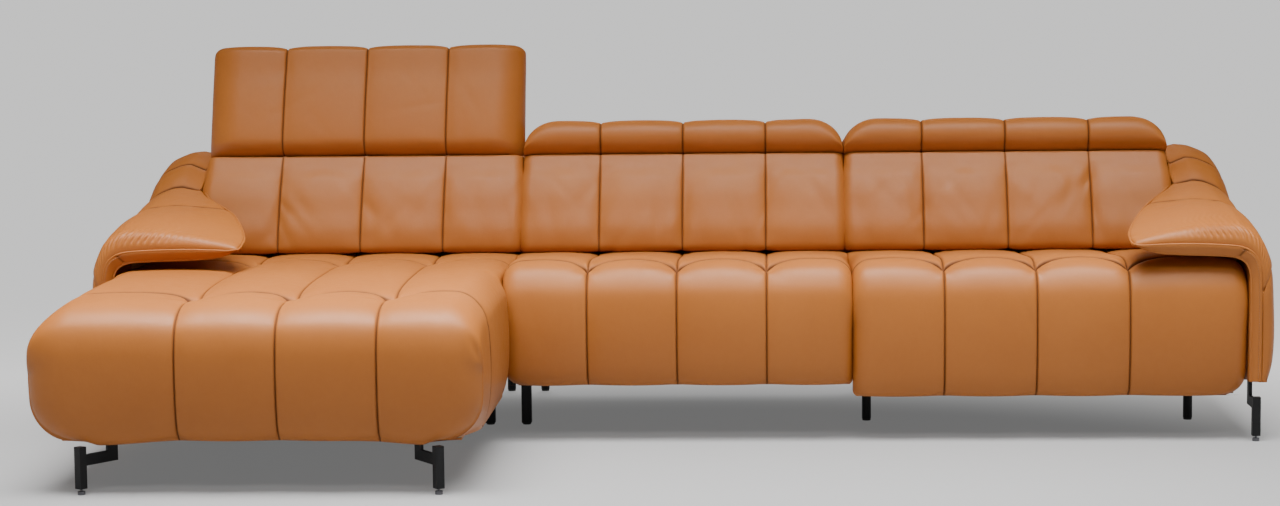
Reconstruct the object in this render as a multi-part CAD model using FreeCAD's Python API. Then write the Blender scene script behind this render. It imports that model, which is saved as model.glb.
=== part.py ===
import FreeCAD, Part
import math
import os

# Chaise sofa in three joined units, in millimetres.
# X runs along the sofa, Y runs from the front to the rear, Z runs up from the floor.
# The solids are drawn from the seat line, where the seats meet the backs (y = 0 there).
# save() then moves them so that the origin lies below the middle of the whole sofa.

Vec = FreeCAD.Vector
os.makedirs("parts", exist_ok=True)

# overall
chaise_reach = 1202.0  # seat line to the front of the chaise
seat_reach = 502.0  # seat line to the front of the two short seats
back_reach = 442.0  # seat line to the rear face
sofa_length = 3015.0  # over both arms
arm_reach = 187.5  # the outer back's end to the sofa's outer side
arm_width = 67.5  # the outer seat's end to the sofa's outer side
unit_gap = 4.0  # between two joined units
soft_gap = 0.3  # between a soft piece and its neighbour
arc_chords = 4  # an arc in an outline is drawn in this many straight edges

# seats
chaise_bottom = 118.0
middle_bottom = 140.0
right_bottom = 109.0
crest_height = 459.0  # top of the front roll
seat_level = 440.0  # top of the seat at the seat line
seat_deck = 274.0  # underside of the seat cushion
seat_rear = 60.0  # the seat cushion runs on under the back cushion
front_pad = 62.0  # thickness of the padded front
front_tuck = 30.0  # the front's lower edge is drawn back by this
roll_depth = 80.0  # front face to the row of tufts on a short seat
chaise_tufts = (1000.0, 205.0)  # rows of tufts on the chaise, before the seat line
seam_depth = 15.0  # a seam lies this deep between two crowned channels
tuft_depth = 12.0
shoulder = 0.2  # a channel is nearly at its full height at this share of its width
shoulder_draw = 0.25
end_width = 46.0  # the side of a seat is rounded over this width
end_depth = 30.0
side_drop = 60.0  # the chaise's top falls by this at its free sides
side_inset = 0.3  # share of that fall where the long body of the chaise ends
seat_joint = 6.0  # the joint between two seats lies this far past the middle back
chaise_setback = 24.5  # the sofa's outer side to the chaise's free side
chaise_bulge = 19.0  # the chaise bulges past the joint by this, in front of the middle seat
side_tuck = 46.0  # the chaise's free side is drawn in by this at the bottom
side_pad = 28.0  # cushion side to the base frame
middle_seams = (0.2427, 0.5, 0.7573)  # shares of the seat's width
right_seams = (0.2323, 0.4672, 0.7020)
chaise_seams = (0.3091, 0.5455, 0.7818)

# backs
back_seam_share = 0.2574  # one seam to the next, as a share of the width of a back
back_face_foot = 462.0  # height at which the back's face starts above its lower roll
back_lean = 104.0  # the face leans back by this up to the lip
lip_rise = 0.5  # top of the padded deck to the lip of the back cushion
back_crown = 14.0
back_seam_depth = 12.0
back_rear = 157.5  # rear face of the back cushion
deck_height = 683.5  # top of the padded deck behind the backs
deck_pad_thickness = 18.5
panel_thickness = 17.0

# headrests
pivot_y = 151.0
pivot_rise = 56.5  # top of the padded deck to the pivot
roll_radius = 50.0
roll_gap = 2.0  # headrest roll to the lip of the back cushion
headrest_length = 274.0  # pivot to the top edge
headrest_top = 70.0  # thickness at the top edge
headrest_seam_depth = 8.0
headrest_end = 92.0  # the front face rounds back over this width at each side
headrest_edge = 16.0  # thickness left at the very side
raised_angle = 71.0  # elevation of a raised headrest
folded_angle = -4.0  # elevation of a folded one
headrest_board = 12.0
batten_width = 30.0
batten_thickness = 24.0
batten_start = 30.0
batten_end = 232.0

# headrest hinges
hinge_offset = 300.0  # centre of a back to its hinges
leaf_thickness = 3.0
leaf_gap = 0.4
leaf_width = 14.0
hub_radius = 16.0
tooth_height = 2.6
tooth_count = 9
pin_radius = 4.0
pin_clearance = 0.05
bolt_head_radius = 7.0  # over the corners
bolt_head = 2.0
arm_length = 120.0
bracket_y = 186.0  # the fixed bracket drops behind the back cushion here
bracket_drop = 40.0  # pivot to the bracket's bend
bracket_foot = 560.0

# frames
rail_thickness = 25.0
cross_rail = 40.0
post_size = 40.0
post_front = 160.0  # front face of the back's front posts
board_thickness = 15.0
strap_width = 60.0
strap_thickness = 2.0
cover_thickness = 1.5
frame_lift = 6.0  # the base frame stands this far above the cushion's lower edge
chaise_rail_insets = (127.0, 62.0)  # the free side and the joint to the outer rails' centres
middle_rail_inset = 35.0
right_rail_insets = (46.0, 100.0)

# arms
arm_bottom = 146.0
arm_split = 430.0  # the arm pad starts at this height
arm_setback = 10.0  # front of the short seats to the front of the pad
arm_rear_inset = 17.5  # the sofa's outer side to the rear panel's end behind an arm
arm_board = 18.0
arm_side_pad = 23.5
arm_tuck = 12.0  # the outer side is drawn in by this at the bottom
arm_seam_depth = 6.0
front_panel_thickness = 13.0
wing_board = 12.0

# legs
front_leg_size = 20.0
front_leg_top = 112.0
bar_low = 66.0
bar_high = 92.0
right_bar_low = 78.0
right_bar_high = 104.0
bar_thickness = 8.0
tab_width = 30.0
tab_size = 38.0
bar_length = 110.0
leg_turn = 35.0  # the bars of the chaise's legs point in by this
plate_thickness = 5.0
square_leg = 26.0
round_leg = 24.0
rear_leg_y = 390.0
front_leg_setback = 15.0  # front of the chaise to the centre of its front legs
short_leg_y = -201.0
round_leg_y = -151.0
foot_radius = 9.0
foot_height = 8.0
stud_radius = 3.0
stud_show = 6.0
glide_height = 5.0

# worked out from the values above
line_y = (chaise_reach - back_reach) / 2
sofa_half = sofa_length / 2
back_pitch = (sofa_length - 2 * arm_reach) / 3
back_half = back_pitch / 2 - unit_gap / 2
back_seam_pitch = back_seam_share * back_pitch
seat_half = back_pitch / 2 + seat_joint
seat_outer = sofa_half - arm_width
arm_inner = seat_outer
chaise_side = sofa_half - chaise_setback
chaise_inner = seat_half - chaise_bulge
chaise_rails = (-chaise_side + chaise_rail_insets[0], -seat_half - chaise_rail_insets[1])
middle_rails = (-seat_half + middle_rail_inset, seat_half - middle_rail_inset)
right_rails = (seat_half + right_rail_insets[0], seat_outer - right_rail_insets[1])
arm_front = seat_reach - arm_setback
front_leg_y = -chaise_reach + front_leg_setback
frame_top = seat_deck - 2 * strap_thickness
travel = raised_angle - folded_angle
lip_height = deck_height + lip_rise
pivot_z = deck_height + pivot_rise
deck_board_top = deck_height - deck_pad_thickness
post_top = deck_board_top - board_thickness
panel_front = back_reach - panel_thickness


def save(node, shape):
    moved = shape.copy()
    moved.translate(Vec(0, line_y, 0))
    moved.exportStep("parts/" + node + ".step")


def box(x0, x1, y0, y1, z0, z1):
    return Part.makeBox(x1 - x0, y1 - y0, z1 - z0, Vec(x0, y0, z0))


def group(shapes):
    return Part.makeCompound(shapes)


def join(shapes):
    return shapes[0].multiFuse(shapes[1:])


def mirrored(shape):
    return shape.mirror(Vec(0, 0, 0), Vec(1, 0, 0))


def ring(points):
    """points holds (corner, middle) pairs. The ring runs from each corner to the next one,
    in chords of the arc through its middle point, or straight where that is None."""
    outline = []
    for i, (corner, middle) in enumerate(points):
        after = points[(i + 1) % len(points)][0]
        outline.append(corner)
        if middle is not None:
            outline += Part.Arc(corner, middle, after).toShape().discretize(arc_chords + 1)[1:-1]
    return outline


def side_ring(x, outline):
    """A ring of (y, z) pairs, stood up in the plane at x."""
    stood = []
    for corner, middle in outline:
        inner = None if middle is None else Vec(x, middle[0], middle[1])
        stood.append((Vec(x, corner[0], corner[1]), inner))
    return ring(stood)


def front_ring(y, outline):
    """A ring of (x, z) pairs, stood up in the plane at y."""
    stood = []
    for corner, middle in outline:
        inner = None if middle is None else Vec(middle[0], y, middle[1])
        stood.append((Vec(corner[0], y, corner[1]), inner))
    return ring(stood)


def flat_face(corners):
    return Part.Face(Part.makePolygon(corners + [corners[0]]))


def skin(rings):
    """A solid through rings of equal count: each patch is flat, or two triangles where it is twisted."""
    faces = [flat_face(rings[0]), flat_face(rings[-1])]
    for first, last in zip(rings, rings[1:]):
        for i in range(len(first)):
            a, b, c, d = first[i - 1], first[i], last[i], last[i - 1]
            across = (b - a).cross(d - a)
            if abs(across.dot(c - a)) < 0.001 * across.Length:
                faces.append(flat_face([a, b, c, d]))
            else:
                faces += [flat_face([a, b, c]), flat_face([a, c, d])]
    shell = Part.Shell(faces)
    shell.sewShape()
    solid = Part.Solid(shell)
    if solid.Volume < 0:
        solid.reverse()
    return solid


def widest(z0, setback0, z1, setback1):
    """Height at which an arc bulges most, where its ends lie back from the bulge by these setbacks."""
    low = math.sqrt(setback0)
    return z0 + (z1 - z0) * low / (low + math.sqrt(setback1))


def side_plate(x0, x1, outline):
    """A plate with a (y, z) outline, from x0 to x1."""
    return flat_face(side_ring(x0, outline)).extrude(Vec(x1 - x0, 0, 0))


def channels(low, high, seams, section, low_end, high_end, shoulders=True):
    """A row of crowned channels along X, each a skin of its own, so that the seams stay sharp.
    section(draw, inset) gives an outline: draw is 1 on a seam and 0 on a crown.
    low_end and high_end hold (distance from the end, inset), where the ends are rounded.
    Shallow channels do without the two shoulders between a crown and its seams."""
    edges = [low] + list(seams) + [high]
    skins = []
    for i in range(len(edges) - 1):
        first = i == 0
        last = i == len(edges) - 2
        start = edges[i] + (low_end[-1][0] if first else 0)
        stop = edges[i + 1] - (high_end[-1][0] if last else 0)
        stations = []
        if first:
            stations += [(low + away, 0.3, inset) for away, inset in low_end[:-1]]
            stations.append((start, 0.15, low_end[-1][1]))
        else:
            stations.append((start, 1.0, 0.0))
            if shoulders:
                stations.append((start + shoulder * (stop - start), shoulder_draw, 0.0))
        stations.append(((start + stop) / 2, 0.0, 0.0))
        if last:
            stations.append((stop, 0.15, high_end[-1][1]))
            stations += [(high - away, 0.3, inset) for away, inset in reversed(high_end[:-1])]
        else:
            if shoulders:
                stations.append((stop - shoulder * (stop - start), shoulder_draw, 0.0))
            stations.append((stop, 1.0, 0.0))
        skins.append(skin([side_ring(x, section(draw, inset)) for x, draw, inset in stations]))
    return join(skins)


def rounded_end(width):
    """Distances from the end, with the inset there, for an end rounded over this width."""
    return ((0.0, 1.0), (0.12 * width, 0.52), (0.4 * width, 0.2), (width, 0.0))


# seats
def seat_section(reach, bottom, draw, inset):
    """Side outline of a short seat: bulged front, front roll, tuft row and gently hollow top."""
    dent = seam_depth * draw
    pull = end_depth * inset
    front = -reach + dent + pull
    foot = (-reach + front_tuck + 0.3 * dent + 0.5 * pull, bottom)
    brow = (front + 24, crest_height - 44 - pull)
    face = (front, widest(bottom, foot[0] - front, brow[1], 24))
    roll = (front + 42, crest_height - 13 - pull - 0.4 * dent)
    tuft = (-reach + roll_depth, crest_height - 3 - pull - tuft_depth * draw)
    top = (-reach * 0.4, (crest_height + seat_level) / 2 + 1 - 0.8 * pull - 0.6 * dent)
    back = (seat_rear, seat_level - 4 - 0.8 * pull)
    return [
        (foot, face),
        (brow, roll),
        (tuft, top),
        (back, None),
        ((seat_rear, seat_deck), None),
        ((-reach + front_pad, seat_deck), None),
        ((-reach + front_pad, bottom), None),
    ]


def chaise_section(draw, inset):
    """Side outline of the chaise: as a seat, with two rows of tufts on a long top."""
    dent = seam_depth * draw
    pull = end_depth * inset
    drop = side_drop * inset
    front = -chaise_reach + dent + pull
    level = seat_level - 5 - drop
    foot = (-chaise_reach + front_tuck + 0.3 * dent + 0.5 * pull, chaise_bottom)
    brow = (front + 34, seat_level - 62 - drop)
    face = (front, widest(chaise_bottom, foot[0] - front, brow[1], 34))
    roll = (front + 90, seat_level - 12 - drop - 0.4 * dent)
    first = (-chaise_tufts[0], level - tuft_depth * draw)
    middle = (-(chaise_tufts[0] + chaise_tufts[1]) / 2, level + 14 - 0.8 * dent)
    second = (-chaise_tufts[1], level - tuft_depth * draw)
    last = (-chaise_tufts[1] / 2, level + 8 - 0.6 * dent)
    return [
        (foot, face),
        (brow, roll),
        (first, middle),
        (second, last),
        ((seat_rear, level), None),
        ((seat_rear, seat_deck), None),
        ((-chaise_reach + front_pad, seat_deck), None),
        ((-chaise_reach + front_pad, chaise_bottom), None),
    ]


def split_seat(name, whole):
    """The cover and foam come as a seat cushion and a padded front, which meet on the deck's level."""
    size = whole.BoundBox
    low = box(size.XMin - 1, size.XMax + 1, size.YMin - 1, size.YMax + 1, size.ZMin - 1, seat_deck)
    save(name + "_seat_front", whole.common(low))
    save(name + "_seat_cushion", whole.cut(low))


def seams_at(low, high, shares):
    return [low + share * (high - low) for share in shares]


def short_seat(unit, shares):
    def section(draw, inset):
        return seat_section(seat_reach, unit["bottom"], draw, inset)

    low = unit["low"]
    high = unit["high"]
    return channels(low, high, seams_at(low, high, shares), section, rounded_end(end_width), rounded_end(end_width))


def chaise_seat():
    """The long seat between the arm and the middle seat, and the rounded sides of its free part,
    which stand out past both."""
    low = -seat_outer + unit_gap / 2
    high = -seat_half - unit_gap / 2
    body = channels(low, high, seams_at(low, high, chaise_seams), chaise_section,
                    ((0.0, side_inset), (end_width, 0.08), (2 * end_width, 0.0)),
                    ((0.0, 0.5 * side_inset), (end_width, 0.0)))
    sides = []
    behind_arm = -arm_front - front_panel_thickness - unit_gap
    for edge, outer, rear, start in ((low, -chaise_side, behind_arm, side_inset),
                                     (high, -chaise_inner, -seat_reach - unit_gap, 0.5 * side_inset)):
        rings = []
        for share, inset in ((1.0, 1.0), (0.88, 0.68), (0.6, 0.47), (0.0, start)):
            rings.append(side_ring(edge + share * (outer - edge), chaise_section(0.3, inset)))
        ends = sorted((edge, outer))
        behind = box(ends[0] - 1, ends[1] + 1, rear, seat_rear + 1, chaise_bottom - 1, crest_height)
        sides.append(skin(rings).cut(behind))
    return join([body] + sides)


units = {
    "chaise": {"back": -back_pitch, "bottom": chaise_bottom, "rails": chaise_rails,
               "reach": chaise_reach, "angle": raised_angle, "arm": -1,
               "low": -seat_outer + unit_gap / 2, "high": -seat_half - unit_gap / 2},
    "middle": {"back": 0.0, "bottom": middle_bottom, "rails": middle_rails,
               "reach": seat_reach, "angle": folded_angle, "arm": 0,
               "low": -seat_half + unit_gap / 2, "high": seat_half - unit_gap / 2},
    "right": {"back": back_pitch, "bottom": right_bottom, "rails": right_rails,
              "reach": seat_reach, "angle": folded_angle, "arm": 1,
              "low": seat_half + unit_gap / 2, "high": seat_outer - unit_gap / 2},
}

split_seat("chaise", chaise_seat())
split_seat("middle", short_seat(units["middle"], middle_seams))
split_seat("right", short_seat(units["right"], right_seams))


# backs
def back_section(draw, inset):
    """Side outline of a back cushion: lower roll, leaning face, lip, and the hollow under the headrest."""
    dent = back_seam_depth * draw
    pull = 26 * inset
    foot_z = seat_level + 2 + 0.4 * pull
    lip_pull = min(dent + pull, 9)
    hollow = roll_radius + roll_gap

    def on_roll(angle):
        turn = math.radians(angle)
        return (pivot_y + hollow * math.cos(turn), pivot_z + hollow * math.sin(turn))

    length = math.hypot(back_lean, lip_height - back_face_foot)
    bulge = back_crown * (1 - draw)
    middle_y = back_lean / 2 + dent + pull - bulge * (lip_height - back_face_foot) / length
    middle_z = (back_face_foot + lip_height) / 2 + bulge * back_lean / length
    return [
        ((16 + dent + pull, foot_z), (4 + dent + pull, foot_z + 6)),
        ((dent + pull, back_face_foot), (middle_y, middle_z)),
        ((back_lean + lip_pull, lip_height), (back_lean + 6 + 0.6 * lip_pull, lip_height + 10)),
        (on_roll(228), on_roll(249)),
        (on_roll(270), None),
        ((back_rear, on_roll(270)[1]), None),
        ((back_rear, foot_z), None),
    ]


def headrest_point(angle, along, across):
    """A point of a headrest at this elevation: along runs from the pivot to its top edge,
    and across runs from its front face to its rear."""
    turn = math.radians(angle)
    y = pivot_y + along * math.cos(turn) + across * math.sin(turn)
    z = pivot_z + along * math.sin(turn) - across * math.cos(turn)
    return (y, z)


def headrest_section(angle, draw, inset):
    """Side outline of a headrest: a roll about the pivot, a crowned face and a rounded top edge.
    The front face falls back to the rear towards each side."""
    radius = roll_radius - headrest_seam_depth * draw * (1 - inset)
    thickness = (radius + roll_radius) * (1 - inset) + headrest_edge * inset
    face = roll_radius - thickness
    level = (roll_radius + face) / 2
    dip = math.sqrt(roll_radius ** 2 - level ** 2) if inset > 0 else radius
    end_draw = headrest_seam_depth * draw * (1 - inset)
    rear_top = headrest_top / 2 + 1
    face_top = min(face + roll_radius - rear_top, rear_top - headrest_edge * 0.8)
    top = headrest_length - end_draw - 14 * inset
    half = (rear_top - face_top) / 2
    level_top = (rear_top + face_top) / 2
    bulge = 5 * (1 - draw)

    def at(along, across):
        return headrest_point(angle, along, across)

    rear = roll_radius
    quarter = math.atan2(dip, level) / 2 if inset > 0 else math.pi / 4
    low_middle = (-rear * math.sin(quarter), rear * math.cos(quarter))
    if inset == 0:
        low_middle = (-0.7071 * (radius + rear) / 2, (rear - radius) / 2 + 0.7071 * (radius + rear) / 2)
    return [
        (at(0, rear), at(low_middle[0], low_middle[1])),
        (at(-dip, level), at(-0.7071 * dip, level + 0.7071 * (face - level))),
        (at(0, face), at(0.5 * top, (face + face_top) / 2 - bulge)),
        (at(top - half, face_top), at(top - 0.293 * half, level_top - 0.7071 * half)),
        (at(top, level_top), at(top - 0.293 * half, level_top + 0.7071 * half)),
        (at(top - half, rear_top), None),
    ]


def turned_plate(angle, x0, x1, outline):
    """A plate between x0 and x1 whose outline is given as (along, across) in a headrest."""
    turned = []
    for corner, middle in outline:
        inner = None if middle is None else headrest_point(angle, middle[0], middle[1])
        turned.append((headrest_point(angle, corner[0], corner[1]), inner))
    return side_plate(x0, x1, turned)


def straight(points):
    return [(p, None) for p in points]


def disc(x0, x1, radius):
    return Part.makeCylinder(radius, x1 - x0, Vec(x0, pivot_y, pivot_z), Vec(1, 0, 0))


def polygon(x0, x1, radius, count):
    """A prism about the pivot, such as the head or the nut of a hinge bolt."""
    corners = []
    for i in range(count):
        turn = 2 * math.pi * i / count
        corners.append((pivot_y + radius * math.cos(turn), pivot_z + radius * math.sin(turn)))
    return side_plate(x0, x1, straight(corners))


def headrest_batten(angle, x0, x1, extra):
    half = batten_thickness / 2 + extra
    corners = [(batten_start - extra, -half), (batten_start - extra, half),
               (batten_end + extra, half), (batten_end + extra, -half)]
    return turned_plate(angle, x0 - extra, x1 + extra, straight(corners))


def headrest_middle_board(angle, x0, x1, extra):
    half = headrest_board / 2 + extra
    corners = [(batten_start + 30 - extra, -half), (batten_start + 30 - extra, half),
               (batten_end + extra, half), (batten_end + extra, -half)]
    return turned_plate(angle, x0, x1, straight(corners))


def moving_leaf(angle, x0, extra):
    """The leaf screwed to the headrest's batten: an arm from the hub, with a pawl over the teeth."""
    half = leaf_width / 2 + extra
    x1 = x0 + leaf_thickness
    arm = turned_plate(angle, x0, x1, straight([(0, -half), (0, half), (arm_length, half), (arm_length, -half)]))
    leaf = arm.fuse(disc(x0, x1, hub_radius + extra))
    tip = hub_radius + tooth_height + 0.4 - extra
    pawl_outline = straight([(tip, -0.6), (tip + 5, 4 + extra), (tip + 13, 4 + extra),
                             (tip + 13, -4 - extra), (tip + 4, -4 - extra)])
    pawl = turned_plate(angle, x1, x1 + leaf_gap + leaf_thickness, pawl_outline)
    return leaf.fuse(pawl)


def toothed_hub(x0):
    """Ratchet teeth round the part of the hub that the pawl travels over."""
    step = math.radians(travel / (tooth_count - 1))
    start = math.radians(folded_angle) - step / 2
    outer = hub_radius + tooth_height
    corners = []
    for i in range(tooth_count):
        root = start + i * step
        corners.append((pivot_y + outer * math.cos(root), pivot_z + outer * math.sin(root)))
        late = root + step
        corners.append((pivot_y + hub_radius * math.cos(late), pivot_z + hub_radius * math.sin(late)))
    corners.append((pivot_y, pivot_z))
    return side_plate(x0, x0 + leaf_thickness, straight(corners))


def fixed_bracket(x0):
    """The leaf screwed to the back's post: toothed hub, and an arm bent down behind the cushion."""
    x1 = x0 + leaf_thickness
    half = leaf_width / 2
    bend_z = pivot_z - bracket_drop
    lean = bracket_lean()
    side_y = half * math.sin(lean)
    side_z = half * math.cos(lean)
    corners = [
        (pivot_y - side_y, pivot_z - side_z),
        (bracket_y - half, bend_z - half * math.tan((math.pi / 2 - lean) / 2)),
        (bracket_y - half, bracket_foot),
        (bracket_y + half, bracket_foot),
        (bracket_y + half, bend_z + half * math.tan((math.pi / 2 - lean) / 2)),
        (pivot_y + side_y, pivot_z + side_z),
    ]
    return join([disc(x0, x1, hub_radius), side_plate(x0, x1, straight(corners)), toothed_hub(x0)])


def bracket_lean():
    """Angle below level at which the fixed bracket leaves the pivot."""
    return math.atan2(bracket_drop, bracket_y - pivot_y)


def hinge_slot(angle, x0, x1):
    """The room that the fixed bracket takes in a headrest over its travel: it swings from
    its place in a raised headrest to its place in a folded one."""
    reach = 1.6 * roll_radius
    side = leaf_width / 2 + 1
    first = math.radians(raised_angle) + bracket_lean()
    last = math.radians(folded_angle) + bracket_lean()
    middle = (first + last) / 2

    def at(turn, ahead, aside):
        return (ahead * math.cos(turn) - aside * math.sin(turn),
                ahead * math.sin(turn) + aside * math.cos(turn))

    slot = turned_plate(angle, x0, x1, [
        (at(first, 0, side), None),
        (at(first, reach, side), None),
        (at(first, reach, 0), at(middle, reach, 0)),
        (at(last, reach, 0), None),
        (at(last, reach, -side), None),
        (at(last, 0, -side), None),
    ])
    return slot.fuse(polygon(x0, x1, hub_radius + tooth_height + 4, 8))


def headrest(name, back_x, angle):
    """Cushion, wooden frame, hinge leaves and pins of one headrest."""
    def section(draw, inset):
        return headrest_section(angle, draw, inset)

    seams = [back_x + k * back_seam_pitch for k in (-1, 0, 1)]
    cushion = channels(back_x - back_half, back_x + back_half, seams, section,
                       rounded_end(headrest_end), rounded_end(headrest_end), False)
    inner = hinge_offset - leaf_gap - leaf_thickness
    wood_inner = inner - batten_width
    battens = [headrest_batten(angle, back_x - inner, back_x - wood_inner, 0),
               headrest_batten(angle, back_x + wood_inner, back_x + inner, 0)]
    board = headrest_middle_board(angle, back_x - wood_inner, back_x + wood_inner, 0)
    save(name + "_headrest_frame", group(battens + [board]))

    bore = disc(-sofa_half, sofa_half, pin_radius + pin_clearance)
    leaf = moving_leaf(angle, inner, 0)
    leaf = leaf.cut(bore)
    bracket = fixed_bracket(hinge_offset).cut(bore)
    pin_low = inner - 0.3
    pin_high = hinge_offset + leaf_thickness + 0.3
    pin = join([disc(pin_low, pin_high, pin_radius),
                polygon(pin_low - bolt_head, pin_low, bolt_head_radius, 6),
                polygon(pin_high, pin_high + bolt_head, bolt_head_radius, 6)])

    slot_low = inner - 0.3 - bolt_head - 1.0
    slot_high = pin_high + bolt_head + 1.0
    slot = hinge_slot(angle, inner - 1.0, slot_high).fuse(polygon(slot_low, slot_high, bolt_head_radius + 3, 8))
    leaf_room = turned_plate(angle, inner, inner + leaf_thickness + leaf_gap + 3.0,
                             straight([(0, -leaf_width / 2 - 1), (0, leaf_width / 2 + 1),
                                       (arm_length + 1, leaf_width / 2 + 1),
                                       (arm_length + 1, -leaf_width / 2 - 1)]))
    pocket = join([slot, leaf_room])
    arms = []
    brackets = []
    pins = []
    pockets = []
    for flip in (False, True):
        for shape, kept in ((leaf, arms), (bracket, brackets), (pin, pins), (pocket, pockets)):
            placed = mirrored(shape) if flip else shape.copy()
            placed.translate(Vec(back_x, 0, 0))
            kept.append(placed)
    save(name + "_headrest_arms", group(arms))
    save(name + "_hinge_brackets", group(brackets))
    save(name + "_hinge_pins", group(pins))
    pockets += [headrest_batten(angle, back_x - inner, back_x - wood_inner, soft_gap),
                headrest_batten(angle, back_x + wood_inner, back_x + inner, soft_gap),
                headrest_middle_board(angle, back_x - wood_inner, back_x + wood_inner, soft_gap)]
    save(name + "_headrest_cushion", cushion.cut(pockets))


def back_frame(name, back_x):
    """Four posts with cross rails and a top board, which carry the back, the deck and the hinges."""
    inner = hinge_offset + leaf_thickness
    outer = inner + post_size
    rear_face = panel_front - soft_gap
    pieces = []
    for side in (-1, 1):
        x0 = back_x + (inner if side > 0 else -outer)
        x1 = x0 + post_size
        pieces.append(box(x0, x1, post_front, post_front + post_size, frame_top, post_top))
        pieces.append(box(x0, x1, rear_face - post_size, rear_face, frame_top, post_top))
    for z0 in (frame_top + 60, bracket_foot - 70):
        pieces.append(box(back_x - inner, back_x + inner, post_front, post_front + rail_thickness, z0, z0 + 60))
        pieces.append(box(back_x - inner, back_x + inner, rear_face - rail_thickness, rear_face, z0, z0 + 60))
    top = box(back_x - back_half, back_x + back_half, post_front, rear_face, post_top, deck_board_top)
    pad = box(back_x - back_half, back_x + back_half, post_front, rear_face, deck_board_top, deck_height)
    edge = [e for e in pad.Edges if e.BoundBox.YMin > rear_face - 1 and e.BoundBox.ZMin > deck_height - 1]
    pad = pad.makeFillet(8, edge)
    for side in (-1, 1):
        x0 = back_x + (hinge_offset if side > 0 else -inner)
        x1 = x0 + leaf_thickness
        top = top.cut(box(x0 - 2.5, x1 + 2.5, bracket_y - leaf_width, bracket_y + leaf_width,
                          post_top - 1, deck_board_top + 1))
        pad = pad.cut(box(x0 - 3.5, x1 + 3.5, bracket_y - leaf_width - 4, bracket_y + leaf_width + 4,
                          deck_board_top - 1, deck_height + 1))
    save(name + "_back_frame", group(pieces + [top]))
    save(name + "_deck_pad", pad)


def rear_panel(name, back_x, bottom, arm):
    """The padded rear, which on an outer unit runs on behind the arm, below the arm's pad."""
    panel = box(back_x - back_half, back_x + back_half, panel_front, back_reach, bottom, deck_height)
    if arm:
        ends = sorted((arm * (sofa_half - arm_rear_inset), back_x))
        panel = panel.fuse(box(ends[0], ends[1], panel_front, back_reach, arm_bottom + 4, arm_split + 16))
        panel = panel.removeSplitter()
    edges = [e for e in panel.Edges if e.BoundBox.YMin > back_reach - 1]
    save(name + "_rear_panel", panel.makeFillet(9, edges))


def back_cushion(name, back_x):
    seams = [back_x + k * back_seam_pitch for k in (-1, 0, 1)]
    save(name + "_back_cushion",
         channels(back_x - back_half, back_x + back_half, seams, back_section,
                  rounded_end(end_width), rounded_end(end_width), False))


def frame_ends(unit):
    """The base frame's two sides: inside the seat's padding, or at its outermost rail."""
    half = rail_thickness / 2
    return (min(unit["low"] + side_pad, unit["rails"][0] - half),
            max(unit["high"] - side_pad, unit["rails"][1] + half))


def cross_rails(unit):
    """Front and rear face of each rail across: in front, below the back's posts, and at the rear."""
    front = -unit["reach"] + front_pad
    back_edge = panel_front - soft_gap
    return [(front, front + rail_thickness), (post_front, post_front + cross_rail),
            (back_edge - cross_rail, back_edge)]


def chaise_sides(unit):
    """The padding on the chaise's two free sides, below the cushion and behind its padded front."""
    x0, x1 = frame_ends(unit)
    front = -chaise_reach + front_pad + soft_gap
    top = seat_deck - soft_gap
    half_way = (top + chaise_bottom) / 2
    behind_arm = -arm_front - front_panel_thickness - unit_gap
    sides = []
    for inner, outer, foot, rear in (
            (x0 - soft_gap, -chaise_side, -chaise_side + side_tuck, behind_arm),
            (x1 + soft_gap, -chaise_inner, -chaise_inner - 0.3 * side_tuck, -seat_reach - unit_gap)):
        face = flat_face(front_ring(front, [
            ((outer, top), ((outer + foot) / 2 + 0.2 * (outer - foot), half_way)),
            ((foot, chaise_bottom), None),
            ((inner, chaise_bottom), None),
            ((inner, top), None),
        ]))
        sides.append(face.extrude(Vec(0, rear - front, 0)))
    return group(sides)


def base_frame(name, unit):
    """Front, middle and rear rails across, with rails front to rear between them."""
    z0 = unit["bottom"] + frame_lift
    x0, x1 = frame_ends(unit)
    crosses = cross_rails(unit)
    pieces = [box(x0, x1, y0, y1, z0, frame_top) for y0, y1 in crosses]
    middle = (unit["rails"][0] + unit["rails"][1]) / 2
    half = rail_thickness / 2
    for x in (unit["rails"][0], middle, unit["rails"][1]):
        for ahead, behind in ((crosses[0], crosses[1]), (crosses[1], crosses[2])):
            pieces.append(box(x - half, x + half, ahead[1], behind[0], z0, frame_top))
    save(name + "_base_frame", group(pieces))


def seat_straps(unit):
    """Elastic straps across the frame, and a second layer front to rear on top of them."""
    x0, x1 = frame_ends(unit)
    y0 = -unit["reach"] + front_pad
    y1 = seat_rear
    straps = []
    count = int((y1 - y0) // (1.7 * strap_width))
    pitch = (y1 - y0) / count
    for i in range(count):
        y = y0 + (i + 0.5) * pitch
        straps.append(box(x0, x1, y - strap_width / 2, y + strap_width / 2,
                          frame_top, frame_top + strap_thickness))
    count = int((x1 - x0) // (2.2 * strap_width))
    pitch = (x1 - x0) / count
    for i in range(count):
        x = x0 + (i + 0.5) * pitch
        straps.append(box(x - strap_width / 2, x + strap_width / 2, y0, y1,
                          frame_top + strap_thickness, seat_deck - soft_gap))
    return straps


def back_straps(back_x):
    """Elastic straps across the front posts, behind the back cushion."""
    half = hinge_offset + leaf_thickness + post_size
    straps = []
    for i in range(3):
        z = seat_level + 60 + i * 1.3 * strap_width
        straps.append(box(back_x - half, back_x + half, post_front - strap_thickness, post_front,
                          z - strap_width / 2, z + strap_width / 2))
    return straps


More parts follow.
